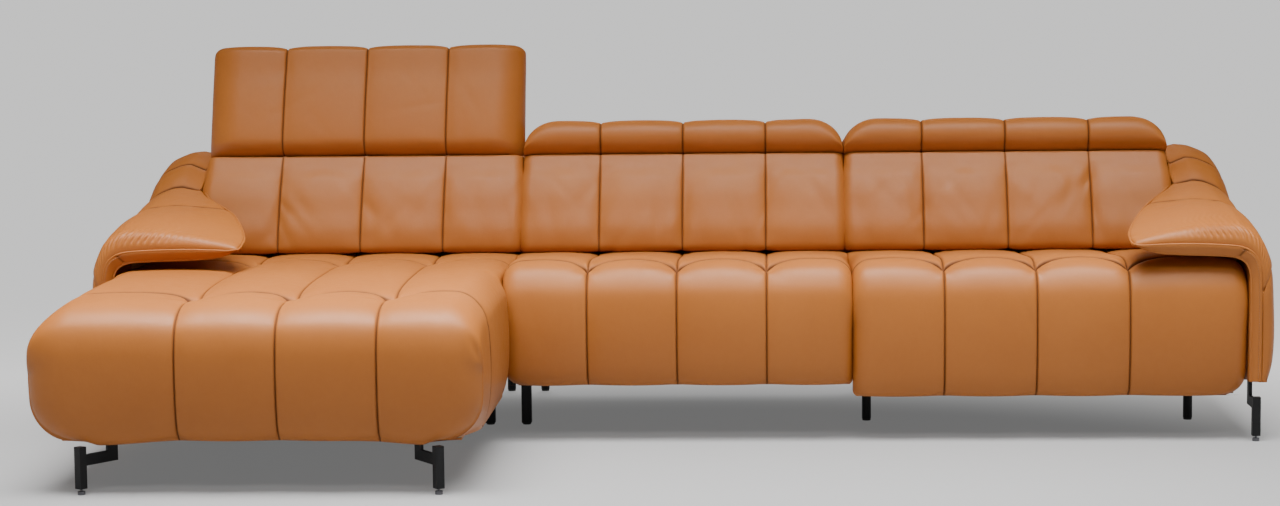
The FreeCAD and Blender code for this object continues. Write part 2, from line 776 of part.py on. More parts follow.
save("chaise_seat_sides", chaise_sides(units["chaise"]))
seat_webbing = []
back_webbing = []
dust_covers = []
for name, unit in units.items():
    back_cushion(name, unit["back"])
    headrest(name, unit["back"], unit["angle"])
    back_frame(name, unit["back"])
    rear_panel(name, unit["back"], unit["bottom"] + frame_lift, unit["arm"])
    base_frame(name, unit)
    seat_webbing += seat_straps(unit)
    back_webbing += back_straps(unit["back"])
    under = unit["bottom"] + frame_lift
    cover_x = frame_ends(unit)
    dust_covers.append(box(cover_x[0], cover_x[1], -unit["reach"] + front_pad, panel_front - soft_gap,
                           under - cover_thickness, under))
save("seat_webbing", group(seat_webbing))
save("back_webbing", group(back_webbing))
save("dust_covers", group(dust_covers))


# arms
arm_stations = {
    # distance behind the seat line: (ridge's and inner edge's distance from the outer side, and heights
    # of the ridge, the inner edge and the underside)
    -arm_front: (103.5, 357.5, 530.0, 500.0, 466.0),
    52.0 - arm_front: (103.5, 361.5, 554.0, 512.0, 466.0),
    -300.0: (105.5, 327.5, 574.0, 548.0, 466.0),
    -150.0: (108.5, 277.5, 586.0, 572.0, 458.0),
    -30.0: (111.5, 223.5, 604.0, 592.0, 454.0),
    55.0: (115.5, 193.5, 616.0, 603.0, 452.0),
    80.0: (117.5, 183.5, 622.0, 606.0, 450.0),
    130.0: (121.5, 183.5, 654.0, 630.0, 450.0),
    180.0: (125.5, 183.5, 678.0, 655.0, 450.0),
    300.0: (132.5, 183.5, 702.0, 688.0, 450.0),
    424.0: (132.5, 183.5, 686.0, 678.0, 450.0),
}
arm_seams = (-150.0, 80.0, 180.0)


def arm_section(y):
    """Front outline of the arm pad: outer side, ridge, top down to the inner edge, and underside."""
    ridge_inset, edge_inset, ridge, edge_z, under = arm_stations[y]
    ridge_x = sofa_half - ridge_inset
    edge_x = sofa_half - edge_inset
    dent = arm_seam_depth if y in arm_seams else 0
    outer = sofa_half - 6 - (8 if y == -arm_front else 0)
    top = ridge - dent
    hip_z = max(top - 100, arm_split + 6)
    hip_x = outer - 0.06 * (hip_z - arm_split)
    round_x = ridge_x + 0.68 * (hip_x - ridge_x)
    round_z = hip_z + 0.66 * (top - hip_z)
    crown = ((ridge_x + edge_x) / 2, (top + edge_z) / 2 + 0.06 * (ridge_x - edge_x) - dent / 2)
    lip = edge_z - 12 if y < 60 else under
    return [
        ((outer, arm_split), None),
        ((hip_x, hip_z), (round_x, round_z)),
        ((ridge_x, top), crown),
        ((edge_x, edge_z), None),
        ((edge_x + 2, lip), None),
        ((arm_inner, under), None),
        ((arm_inner, arm_split), None),
    ]


def wing_plate(extra):
    """The board inside the arm's wing, which slopes up to the rear."""
    y0 = 22.0 - arm_front
    y1 = -20.0
    z0 = 484.0
    z1 = 556.0
    front_x = sofa_half - 277.5 - extra
    rear_x = sofa_half - 177.5 - extra
    outer_x = arm_inner + 26.0
    corners = [Vec(front_x, y0 - extra, z0 - extra), Vec(outer_x, y0 - extra, z0 - extra),
               Vec(outer_x, y1 + extra, z1 - extra), Vec(rear_x, y1 + extra, z1 - extra)]
    return flat_face(corners).extrude(Vec(0, 0, wing_board + 2 * extra))


def arm_pad():
    stations = sorted(arm_stations)
    breaks = [stations[0]] + list(arm_seams) + [stations[-1]]
    skins = []
    for start, stop in zip(breaks, breaks[1:]):
        skins.append(skin([front_ring(y, arm_section(y)) for y in stations if start <= y <= stop]))
    return join(skins).cut(wing_plate(soft_gap))


def arm_side():
    """The padded outer side: bulged from top to bottom, and rounded at the front."""
    inner = sofa_half - arm_side_pad
    rings = []
    for y, pull in ((-arm_front, 9.0), (-arm_front + 30, 2.0), (-20.0, 0.0), (395.0, 2.0), (424.0, 7.0)):
        outer = sofa_half - pull
        rings.append(front_ring(y, [
            ((outer - arm_tuck, arm_bottom), (outer, widest(arm_bottom, arm_tuck, arm_split, 6))),
            ((outer - 6, arm_split), None),
            ((inner, arm_split), None),
            ((inner, arm_bottom), None),
        ]))
    return skin(rings)


def arm_front_panel():
    """The L-shaped front: a band under the pad, turned down beside the seat."""
    outer_x = sofa_half - 40
    outline = [
        ((sofa_half - 351.5, 492.0), None),
        ((sofa_half - 135.5, 490.0), (sofa_half - 69.5, 470.0)),
        ((outer_x, 424.0), None),
        ((outer_x, arm_bottom + 4), None),
        ((arm_inner, arm_bottom + 4), None),
        ((arm_inner, 420.0), (sofa_half - 76.5, 453.0)),
        ((sofa_half - 107.5, 467.0), None),
        ((sofa_half - 337.5, 474.0), None),
    ]
    return flat_face(front_ring(-arm_front - soft_gap, outline)).extrude(Vec(0, -front_panel_thickness, 0))


def arm_frame():
    """Side board with the slope of the arm, posts, a lower rail and the board in the wing."""
    x1 = sofa_half - arm_side_pad - soft_gap
    x0 = x1 - arm_board
    rear = panel_front - soft_gap
    front = -arm_front + 2
    low = arm_bottom + 4
    top = arm_split - soft_gap
    side = box(x0, x1, front, rear, low, top)
    pieces = [side]
    for y0 in (front, rear - post_size):
        pieces.append(box(arm_inner + soft_gap, x0, y0, y0 + post_size, low, top))
    pieces.append(box(arm_inner + soft_gap, x0, front + post_size, rear - post_size, low, low + 60))
    return group(pieces + [wing_plate(0)])


for name, turn in (("left", True), ("right", False)):
    for node, shape in (("arm_pad", arm_pad()), ("arm_side", arm_side()),
                        ("arm_front_panel", arm_front_panel()), ("arm_frame", arm_frame())):
        save(name + "_" + node, mirrored(shape) if turn else shape)


# legs
def h_leg(place, turn, low, high, under):
    """A square post, a flat bar set back from it, and a tab up to the plate under the frame.
    turn is the bar's direction, in degrees from straight back."""
    half = front_leg_size / 2
    length = bar_length
    post = box(-half, half, -half, half, foot_height + stud_show, front_leg_top)
    bar = box(-bar_thickness / 2, bar_thickness / 2, half, length, low, high)
    tab = box(-bar_thickness / 2, bar_thickness / 2, length - tab_width, length, high, under - plate_thickness)
    plate = box(-tab_size / 2, tab_size / 2, length - tab_width - 8, length + 8, under - plate_thickness, under)
    leg = join([post, bar, tab, plate])
    bore = Part.makeCylinder(stud_radius + pin_clearance, 30, Vec(0, 0, 0))
    leg = leg.cut(bore)
    leg.rotate(Vec(0, 0, 0), Vec(0, 0, 1), turn)
    leg.translate(Vec(place[0], place[1], 0))
    return leg


def levelling_foot(x, y):
    """A twelve-sided pad on a threaded stud, screwed up into the post."""
    pad = upright_prism(x, y, foot_radius, foot_height, 12)
    stud = Part.makeCylinder(stud_radius, stud_show + 14, Vec(x, y, foot_height))
    return pad.fuse(stud)


def upright_prism(x, y, radius, height, count):
    corners = []
    for i in range(count):
        turn = 2 * math.pi * i / count
        corners.append(Vec(x + radius * math.cos(turn), y + radius * math.sin(turn), 0))
    return flat_face(corners).extrude(Vec(0, 0, height))


def under_frame(unit):
    return units[unit]["bottom"] + frame_lift - cover_thickness


left_leg = (chaise_rails[0], front_leg_y)
inner_leg = (chaise_rails[1] - 17, front_leg_y)
right_leg = (arm_inner + 18, -arm_front - 1)
save("front_leg_left", h_leg(left_leg, -leg_turn, bar_low, bar_high, under_frame("chaise")))
save("front_leg_inner", h_leg(inner_leg, leg_turn, bar_low, bar_high, under_frame("chaise")))
save("front_leg_right", h_leg(right_leg, 0, right_bar_low, right_bar_high, arm_bottom + 4))
save("levelling_feet", group([levelling_foot(x, y) for x, y in (left_leg, inner_leg, right_leg)]))

square_places = [(chaise_rails[1], short_leg_y, "chaise"), (middle_rails[0], short_leg_y, "middle")]
round_places = [(right_rails[0], round_leg_y, "right"), (right_rails[1], round_leg_y, "right")]
rear_places = [(chaise_rails[0], rear_leg_y, "chaise"), (chaise_rails[1], rear_leg_y, "chaise"),
               (middle_rails[0], rear_leg_y, "middle"), (right_rails[0], rear_leg_y, "right"),
               (right_rails[1], rear_leg_y, "right")]
half = square_leg / 2
square_legs = []
for x, y, unit in square_places:
    leg = box(x - half, x + half, y - half, y + half, glide_height, under_frame(unit))
    square_legs.append(leg.makeChamfer(2, [e for e in leg.Edges if e.Length > square_leg + 1]))
save("square_legs", group(square_legs))
round_legs = []
for x, y, unit in round_places:
    round_legs.append(Part.makeCylinder(round_leg / 2, under_frame(unit) - glide_height, Vec(x, y, glide_height)))
save("round_legs", group(round_legs))
rear_legs = []
for x, y, unit in rear_places:
    rear_legs.append(Part.makeCylinder(round_leg / 2, under_frame(unit) - glide_height, Vec(x, y, glide_height)))
save("rear_legs", group(rear_legs))
glides = [upright_prism(x, y, half - 2, glide_height, 12) for x, y, unit in square_places + round_places + rear_places]
save("leg_glides", group(glides))


# joints between the units
def connector(x0, x1, y, z):
    """A hook plate on one unit's rail, whose tongue sits in a catch plate on the next one's."""
    middle = (x0 + x1) / 2
    hook = box(x0, middle, y - 16, y + 16, z - 4, z)
    tongue = box(middle, x1 - 6, y - 8, y + 8, z - 4, z)
    low = box(x1 - 18, x1, y - 16, y + 16, z - 8, z - 4 - soft_gap)
    high = box(x1 - 18, x1, y - 16, y + 16, z + soft_gap, z + 4)
    end = box(x1 - 5, x1, y - 16, y + 16, z - 8, z + 4)
    return [hook.fuse(tongue), join([low, high, end])]


connectors = []
for left, right in (("chaise", "middle"), ("middle", "right")):
    x0 = frame_ends(units[left])[1]
    x1 = frame_ends(units[right])[0]
    for front, rear in cross_rails(units[left])[1:]:
        connectors += connector(x0, x1, (front + rear) / 2, frame_top - 40)
save("unit_connectors", group(connectors))
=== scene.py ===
import bpy
import bmesh
import math
import numpy as np
from mathutils import Matrix, Vector


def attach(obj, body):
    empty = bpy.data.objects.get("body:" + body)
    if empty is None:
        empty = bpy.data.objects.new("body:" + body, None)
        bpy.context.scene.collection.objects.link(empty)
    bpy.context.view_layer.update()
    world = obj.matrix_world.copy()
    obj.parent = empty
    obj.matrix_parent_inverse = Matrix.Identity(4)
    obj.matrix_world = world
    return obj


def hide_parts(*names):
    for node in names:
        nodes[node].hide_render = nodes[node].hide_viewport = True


# Leather chaise sofa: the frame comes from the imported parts, the upholstery is worked out here.
# Metres, X along the sofa, Y to the rear, Z up. Depths are given from the seat line, which lies lineY behind
# the origin.
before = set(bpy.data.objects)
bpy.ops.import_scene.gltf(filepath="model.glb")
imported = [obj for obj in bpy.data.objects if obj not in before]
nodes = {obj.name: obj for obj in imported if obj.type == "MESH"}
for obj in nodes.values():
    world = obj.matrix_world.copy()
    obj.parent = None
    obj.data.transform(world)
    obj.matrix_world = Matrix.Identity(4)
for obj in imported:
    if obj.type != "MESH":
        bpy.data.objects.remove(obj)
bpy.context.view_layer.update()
lineY = 0.380


# Surfaces
def spacedPath(points, count=900):
    # Catmull-Rom curve through the points: P(t) = (2b + (c-a)t + (2a-5b+4c-d)t^2 + (3b-a-3c+d)t^3) / 2
    p = np.array(points, float)
    p = np.vstack([2 * p[0] - p[1], p, 2 * p[-1] - p[-2]])
    spans = len(p) - 3
    t = np.linspace(0, spans, count)
    i = np.minimum(t.astype(int), spans - 1)
    f = (t - i)[:, None]
    a, b, c, d = p[i], p[i + 1], p[i + 2], p[i + 3]
    q = 0.5 * (2 * b + (c - a) * f + (2 * a - 5 * b + 4 * c - d) * f ** 2 + (3 * b - a - 3 * c + d) * f ** 3)
    step = np.r_[0, np.cumsum(np.linalg.norm(np.diff(q, axis=0), axis=1))]
    return q, step


def onPath(path, s):
    # P(s), the point at arc length s
    q, step = path
    return np.stack([np.interp(s, step, q[:, k]) for k in range(q.shape[1])], -1)


def smoothStep(x):
    # 3x^2 - 2x^3 between 0 and 1
    x = np.clip(x, 0, 1)
    return x * x * (3 - 2 * x)


def outward(grid, inner):
    # N = dP/du x dP/dv, turned away from the inner side
    n = np.cross(np.gradient(grid, axis=0), np.gradient(grid, axis=1))
    n /= np.maximum(np.linalg.norm(n, axis=-1, keepdims=True), 1e-9)
    return n if ((grid - inner) * n).sum() > 0 else -n


def sunk(outer, inner, dip):
    # P - N dip
    return outer - outward(outer, inner) * dip[..., None]


def gridQuads(nu, nv, start):
    # the four corners of every cell of a grid, numbered from start
    a = start + np.arange(nu - 1)[:, None] * nv + np.arange(nv - 1)[None, :]
    return np.stack([a, a + 1, a + nv + 1, a + nv], -1).reshape(-1, 4)


def rimQuads(outer, inner):
    # the cells between two rows of numbers
    return np.stack([outer[:-1], outer[1:], inner[1:], inner[:-1]], -1).reshape(-1, 4)


def onCircle(degrees, radius, cx, cy):
    # (cx + r cos a, cy + r sin a)
    a = math.radians(degrees)
    return cx + radius * math.cos(a), cy + radius * math.sin(a)


def between(a, b, count):
    # rows of equal steps from a to b
    return a[:, None] + np.linspace(0, 1, count)[None, :] * (b - a)[:, None]


def meshPiece(name, verts, faces, material, values=None, levels=0, merge=0.0):
    # an object with its material, its values at the points and, with levels, a subdivision
    mesh = bpy.data.meshes.new(name)
    mesh.from_pydata(verts.tolist(), [], faces if isinstance(faces, list) else faces.tolist())
    for key, data in (values or {}).items():
        layer = mesh.attributes.new(key, "FLOAT", "POINT")
        layer.data.foreach_set("value", np.ascontiguousarray(data, np.float32).ravel())
    bm = bmesh.new()
    bm.from_mesh(mesh)
    if merge:
        bmesh.ops.remove_doubles(bm, verts=bm.verts, dist=merge)
    bmesh.ops.recalc_face_normals(bm, faces=bm.faces)
    bm.to_mesh(mesh)
    bm.free()
    mesh.polygons.foreach_set("use_smooth", np.full(len(mesh.polygons), True))
    mesh.materials.append(material)
    piece = bpy.data.objects.new(name, mesh)
    bpy.context.scene.collection.objects.link(piece)
    if levels:
        sub = piece.modifiers.new("finer", "SUBSURF")
        sub.levels = levels
        sub.render_levels = levels
    return piece


def slab(name, outer, inner, seam, material, levels=1):
    # a thick sheet: the outer and the inner grid, joined by a rim along their four edges
    nu, nv = outer.shape[:2]
    n = nu * nv
    verts = np.concatenate([outer.reshape(-1, 3), inner.reshape(-1, 3)])
    verts[:, 1] += lineY
    ids = np.arange(n).reshape(nu, nv)
    rim = np.concatenate([ids[0, :], ids[1:, -1], ids[-1, -2::-1], ids[-2::-1, 0]])
    faces = np.concatenate([gridQuads(nu, nv, 0), gridQuads(nu, nv, n)[:, ::-1], rimQuads(rim, rim + n)])
    # the point value is painted shade along the seams, read by the leather's colour
    values = {"seam": np.concatenate([seam.ravel(), np.zeros(n)])}
    return meshPiece(name, verts, faces, material, values=values, levels=levels, merge=2e-5)


# Sewn channels
sewing = {
    "offsets": [0, .0013, .0028, .0048, .0075, .0115, .018, .027, .038, .052],  # columns beside a long seam
    "pitch": .012,        # columns across the rest of a channel
    "line": .0014,        # half width of the stitched line
    "groove": .0030,      # depth of the stitched line
    "pull": .015,         # the leather falls to a seam over this
    "crossGroove": .0024,  # depth of a cross seam's stitched line
    "ridge": .0011,       # the raised edge on one side of a long seam
    "ridgeAt": .005,      # its distance from the seam
    "ridgeWidth": .0025,
    "sideReach": .03,     # how far a seam's raised side counts
    "endShare": .10,      # how far in a shut joint's last column lies, as a share of the pad's depth
}


def channelColumns(edges, endWidth, endSteps=9, pitch=sewing["pitch"]):
    # columns across all channels: x, channel number and share, and q, which runs from 0 to 1 over a rounded end
    offsets = np.array(sewing["offsets"])
    xs = []
    for k in range(len(edges) - 1):
        a, b = edges[k], edges[k + 1]
        leftEnd, rightEnd = k == 0, k == len(edges) - 2
        turn = np.linspace(0, math.pi / 2, endSteps)
        head = a + (endWidth * (1 - np.cos(turn)) if leftEnd else offsets)
        tail = b - (endWidth * (1 - np.cos(turn)) if rightEnd else offsets)[::-1]
        count = max(2, int((tail[0] - head[-1]) / pitch))
        body = np.linspace(head[-1], tail[0], count + 1)[1:-1]
        row = np.concatenate([head, body, tail])
        xs.append(row if k == 0 else row[1:])
    x = np.concatenate(xs)
    edges = np.array(edges)
    k = np.clip(np.searchsorted(edges, x, side="right") - 1, 0, len(edges) - 2)
    share = (x - edges[k]) / (edges[k + 1] - edges[k])
    left = np.clip((edges[0] + endWidth - x) / endWidth, 0, 1)
    right = np.clip((x - edges[-1] + endWidth) / endWidth, 0, 1)
    return x, k, share, np.maximum(left, right)


def archedRow(share, k, last, low):
    # a cross seam's arc over each channel: (1 - (2 share - 1)^2)^0.7, which ends at low on the two outer sides
    arc = np.clip(1 - (2 * share - 1) ** 2, 0, 1) ** 0.7
    outside = ((k == 0) & (share < .5)) | ((k == last) & (share > .5))
    return np.where(outside, low + (1 - low) * arc, arc)


def rowCluster():
    # close rows on both sides of a cross seam, and the margin that they take up
    near = np.array(sewing["offsets"])[1:8]
    return np.concatenate([-near[::-1][1:], [0], near[:-1]])[None, :], near[-1]


def seamDistance(x, seams):
    # distance to the nearest seam
    return np.min([np.abs(x - s) for s in seams], axis=0)


def closedEnds(outer, inner, shadeMark):
    # one more column at each end, straight in from the last, so that a joint stays shut when the mesh is refined
    share = sewing["endShare"]
    first, last = inner[:1].copy(), inner[-1:].copy()
    first[..., 0], last[..., 0] = outer[:1, :, 0], outer[-1:, :, 0]
    outer = np.concatenate([outer[:1] + share * (first - outer[:1]), outer, outer[-1:] + share * (last - outer[-1:])])
    inner = np.concatenate([inner[:1], inner, inner[-1:]])
    return outer, inner, np.pad(shadeMark, ((1, 1), (0, 0)), mode="edge")


def endInset(q):
    # a quarter circle: 1 - sqrt(1 - q^2)
    return 1 - np.sqrt(np.clip(1 - q * q, 0, 1))


def seamMark(d, wide=1.0):
    # e^(-(d / (wide line))^2 / 2)
    return np.exp(-(d / (wide * sewing["line"])) ** 2 / 2)


def seamDip(d, depth, side):
    # depth e^(-d / pull) plus the stitched groove, less a ridge beside it where side is 1
    edge = sewing["ridge"] * side * np.exp(-((d - sewing["ridgeAt"]) / sewing["ridgeWidth"]) ** 2)
    return depth * np.exp(-d / sewing["pull"]) + sewing["groove"] * seamMark(d) - edge


def seamSide(x, seams):
    # 1 just past a seam, 0 before it
    past = x[:, None] - np.array(seams)[None, :]
    return ((past > 0) & (past < sewing["sideReach"])).any(axis=1) * 1.0


def rowDip(d, s, crossS, tuftS, shape, swing=0, hold=1):
    # a cross seam: crossDepth (0.8 + 0.4 e^(-(d / tuftReach)^2)) e^(-c / crossFall) with its groove, the tufts
    # tuftDepth e^(-r / tuftSize), and puckers that fan out from each tuft: h cos(7 turn) e^(-((r - out) / width)^2)
    c = np.abs(s - crossS)
    r = np.hypot(d, s - tuftS)
    turn = np.arctan2(s - tuftS, np.maximum(d, 1e-6))
    height, out, width = shape["pucker"]
    near = 0.8 + 0.4 * np.exp(-(d / shape["tuftReach"]) ** 2)
    dip = shape["crossDepth"] * near * np.exp(-c / shape["crossFall"]) * hold + sewing["crossGroove"] * seamMark(c)
    dip = dip + shape["tuftDepth"] * np.exp(-r / shape["tuftSize"])
    return dip + height * np.cos(7 * turn + swing) * np.exp(-((r - out) / width) ** 2) * (r > .004)


def seamField(x, edges, rows):
    # over a grid of columns x: the distance to the nearest seam between channels, and 1 on its raised side
    seams = edges[1:-1]
    return np.repeat(seamDistance(x, seams)[:, None], rows, 1), seamSide(x, seams)[:, None]


def crownDip(share, q, height):
    # the crown of each channel: height (2 share - 1)^2 (1 - q)
    return height * ((2 * share - 1) ** 2)[:, None] * (1 - q[:, None])


def drawnIn(y, z, cy, cz, inset, limit=0.9):
    # points moved a length inset towards their hidden side (cy, cz), a share limit of the way at most
    share = np.clip(inset / np.maximum(np.hypot(cy - y, cz - z), 1e-4), 0, limit)
    return y + (cy - y) * share, z + (cz - z) * share


def cornerTuck(z, bottom, radius):
    # how far a rounded lower corner is drawn in: radius (1 - sqrt(1 - e^2))
    return radius * endInset(np.clip((bottom + radius - z) / radius, 0, 1))


def softFolds(p, q, seed, count, spanP, spanQ, height, slant=(0.2, 0.9), size=(.05, .13), width=(.006, .014)):
    # long shallow creases: the sum of h e^(-(along / length)^2) e^(-(across / width)^2)
    rng = np.random.default_rng(seed)
    out = np.zeros_like(p)
    for _ in range(count):
        cp = rng.uniform(*spanP)
        cq = rng.uniform(*spanQ)
        turn = rng.uniform(*slant) * rng.choice([-1, 1])
        length = rng.uniform(*size)
        across = rng.uniform(*width)
        a = (p - cp) * math.cos(turn) + (q - cq) * math.sin(turn)
        b = -(p - cp) * math.sin(turn) + (q - cq) * math.cos(turn)
        out += rng.uniform(-1, 0.5) * height * np.exp(-(a / length) ** 2) * np.exp(-(b / across) ** 2)
    return out


# Materials
class Num:
    # a socket that takes part in sums: each operator adds a Math node
    def __init__(self, tree, socket):
        self.tree = tree
        self.socket = socket

    def math(self, kind, *others):
        node = self.tree.nodes.new("ShaderNodeMath")
        node.operation = kind
        for i, value in enumerate((self,) + others):
            if isinstance(value, Num):
                self.tree.links.new(value.socket, node.inputs[i])
            else:
                node.inputs[i].default_value = value
        return Num(self.tree, node.outputs[0])

    def flipped(self, kind, other):
        node = self.tree.nodes.new("ShaderNodeMath")
        node.operation = kind
        node.inputs[0].default_value = other
        self.tree.links.new(self.socket, node.inputs[1])
        return Num(self.tree, node.outputs[0])

    def __add__(self, other):
        return self.math("ADD", other)

    def __sub__(self, other):
        return self.math("SUBTRACT", other)

    def __rsub__(self, other):
        return self.flipped("SUBTRACT", other)

    def __mul__(self, other):
        return self.math("MULTIPLY", other)

    def __rmul__(self, other):
        return self.math("MULTIPLY", other)

    def __truediv__(self, other):
        return self.math("DIVIDE", other)

    def clip(self):
        return self.math("MAXIMUM", 0.0).math("MINIMUM", 1.0)


class Finish:
    # one material: node(type, settings, sockets) adds any node
    def __init__(self, name, **fixed):
        self.material = bpy.data.materials.new(name)
        self.material.use_nodes = True
        self.tree = self.material.node_tree
        self.shader = self.tree.nodes["Principled BSDF"]
        for key, value in fixed.items():
            self.shader.inputs[key.replace("_", " ")].default_value = value
        self.place = self.node("ShaderNodeTexCoord").outputs["Object"]

    def node(self, kind, settings=None, sockets=None):
        node = self.tree.nodes.new(kind)
        for key, value in (settings or {}).items():
            setattr(node, key, value)
        for key, value in (sockets or {}).items():
            self.feed(node.inputs[key], value)
        return node

    def feed(self, socket, value):
        if isinstance(value, Num):
            self.tree.links.new(value.socket, socket)
        elif isinstance(value, bpy.types.NodeSocket):
            self.tree.links.new(value, socket)
        else:
            socket.default_value = value

    def num(self, socket):
        return Num(self.tree, socket)

    def stretch(self, scale, turn=(0, 0, 0)):
        sockets = {"Vector": self.place, "Scale": scale, "Rotation": turn}
        return self.node("ShaderNodeMapping", {}, sockets).outputs[0]

    def noise(self, scale, detail, place=None, rough=0.5):
        made = self.node("ShaderNodeTexNoise", {}, {"Vector": place or self.place, "Scale": scale,
                                                   "Detail": detail, "Roughness": rough})
        return self.num(made.outputs["Fac"])

    def cells(self, scale):
        made = self.node("ShaderNodeTexVoronoi", {}, {"Vector": self.place, "Scale": scale})
        return self.num(made.outputs["Distance"])

    def value(self, name):
        return self.num(self.node("ShaderNodeAttribute", {"attribute_name": name}).outputs["Fac"])

    def mix(self, share, low, high):
        made = self.node("ShaderNodeMix", {"data_type": "RGBA"}, {"Factor": share})
        self.feed(made.inputs[6], low)
        self.feed(made.inputs[7], high)
        return made.outputs[2]

    def bump(self, height, strength, distance, below=None):
        sockets = {"Height": height, "Strength": strength, "Distance": distance}
        if below is not None:
            sockets["Normal"] = below
        return self.node("ShaderNodeBump", {}, sockets).outputs[0]

    def set(self, key, value):
        self.feed(self.shader.inputs[key], value)


# the darkest colour here is painted shade, laid into the seam grooves
leather = {
    "light": (.440, .150, .030, 1), "deep": (.350, .108, .018, 1), "seam": (.070, .020, .004, 1),
    "rough": .46, "shine": .27, "grain": 900.0, "crease": 46.0,
}


def leatherFinish(name):
    # cloudy leather with painted shade along the seams, with creases and a fine grain
    f = Finish(name)
    cloud = f.noise(3.2, 4.0)
    fine = f.noise(60.0, 3.0)
    seam = f.value("seam")
    tone = (cloud * 0.9 + fine * 0.25 - 0.12).clip()
    plain = f.mix(tone, leather["deep"], leather["light"])
    # painted shade: the value carried by the mesh darkens the colour along the seams
    f.set("Base Color", f.mix((seam * 0.92).clip(), plain, leather["seam"]))
    grain = f.cells(leather["grain"])
    wrinkle = f.noise(leather["crease"], 5.0, f.stretch((1.0, 1.0, 0.55), (0.3, 0.2, 0.5)), 0.62)
    f.set("Roughness", (wrinkle * 0.16 + cloud * 0.10 + seam * 0.4 + (leather["rough"] - 0.13)).clip())
    low = f.bump(wrinkle, 0.22, 0.0022)
    f.set("Normal", f.bump(grain, 0.16, 0.0005, low))
    f.set("Specular IOR Level", leather["shine"])
    return f.material


def hardFinish(name, color, rough, grain):
    # a speckled coat: bare metal where the colour is pale, paint or plastic where it is dark
    bare = color[0] >= 0.1
    f = Finish(name, Metallic=1.0 if bare else 0.0, Specular_IOR_Level=0.5 if bare else 0.3)
    speck = f.noise(grain, 4.0)
    paler = tuple(min(1, c * 1.5 + 0.004) for c in color[:3]) + (1,)
    f.set("Base Color", f.mix(speck, color, paler))
    f.set("Roughness", (speck * 0.2 + rough).clip())
    f.set("Normal", f.bump(speck, 0.12, 0.0004))
    return f.material


def woodFinish(name):
    # boards: long rings and pores, stretched along X
    f = Finish(name)
    board = f.stretch((1.2, 14.0, 14.0))
    rings = f.noise(5.0, 5.0, board, 0.6)
    pores = f.noise(120.0, 3.0, board)
    tone = (rings * 0.8 + pores * 0.3 - 0.1).clip()
    f.set("Base Color", f.mix(tone, (.42, .27, .14, 1), (.66, .48, .29, 1)))
    f.set("Roughness", (pores * 0.2 + 0.6).clip())
    f.set("Normal", f.bump(pores, 0.2, 0.0006))
    return f.material


def wovenFinish(name, dark, light, pitch):
    # a weave: the product of waves along X and along Y
    f = Finish(name)
    bands = []
    for way in "XY":
        made = f.node("ShaderNodeTexWave", {"wave_type": "BANDS", "bands_direction": way},
                      {"Vector": f.place, "Scale": pitch, "Distortion": 0.4})
        bands.append(f.num(made.outputs["Fac"]))
    weave = bands[0] * bands[1]
    f.set("Base Color", f.mix(weave, dark, light))
    f.set("Roughness", (weave * 0.1 + 0.82).clip())
    f.set("Normal", f.bump(weave, 0.4, 0.0006))
    return f.material


hide = leatherFinish("tanLeather")
blackSteel = hardFinish("blackPowderCoat", (.0035, .0035, .004, 1), .42, 700.0)
zincSteel = hardFinish("zincPlate", (.48, .48, .50, 1), .30, 260.0)
footSteel = hardFinish("footPlate", (.13, .13, .14, 1), .36, 320.0)
frameWood = woodFinish("frameWood")
webbing = wovenFinish("elasticWebbing", (.02, .02, .022, 1), (.09, .09, .10, 1), 420.0)
dustCloth = wovenFinish("dustCloth", (.012, .012, .012, 1), (.045, .045, .046, 1), 260.0)
plastic = hardFinish("glidePlastic", (.02, .02, .02, 1), .5, 500.0)
threadFinish = wovenFinish("thread", (.30, .13, .05, 1), (.50, .24, .10, 1), 900.0)
print("materials made")

# a node's finish goes by the last of these words in its name
finishes = {
    "frame": frameWood, "webbing": webbing, "dust": dustCloth, "headrest_arms": zincSteel, "hinge": zincSteel,
    "connectors": zincSteel, "leg": blackSteel, "glides": plastic, "levelling": footSteel,
}
for name, node in nodes.items():
    pick = plastic
    for word, material in finishes.items():
        if word in name:
            pick = material
    node.data.materials.clear()
    node.data.materials.append(pick)


# Short seats
def coreOf(y, z, frontPad, deck, bottom):
    # the paired point on a seat's hidden side
    return np.maximum(y, frontPad), np.clip(np.minimum(z, deck), bottom, deck)


shortSeats = {
    "middle": {"edges": [-.4466, -.2285, 0, .2285, .4466], "bottom": .140, "seed": 3, "corners": (.050, .012)},
    "right": {"edges": [.4461, .678, .9105, 1.143, 1.4385], "bottom": .109, "seed": 5, "corners": (.016, .060)},
}
# shade: how far behind a cross seam its painted shadow line lies
seatShape = {
    "endWidth": .046, "tuftY": -.432, "scallop": .056, "outerScallop": .45,
    "seamDepth": .0062, "crossDepth": .0092, "tuftDepth": .015, "tuftSize": .034, "crown": .0050,
    "frontPad": -.4397, "deck": .2743, "shade": .0034, "crossFall": .013, "tuftReach": .055,
    "pucker": (.0016, .035, .03), "corner": .12, "innerGap": .0302, "folds": 34, "foldHeight": .0016,
}


def seatProfile(bottom):
    # (y, z) from the lower front edge up, over the front roll and back to the foot of the back
    h = .415 - bottom
    return [(-.4405, bottom + .0005), (-.462, bottom + .001), (-.481, bottom + .012), (-.493, bottom + .14 * h),
            (-.500, bottom + .30 * h), (-.5035, bottom + .5 * h), (-.502, bottom + .70 * h), (-.495, bottom + .88 * h),
            (-.481, .413), (-.461, .438), (-.436, .452), (-.405, .459), (-.36, .461), (-.30, .459),
            (-.20, .452), (-.10, .445), (-.02, .440), (.057, .436)]


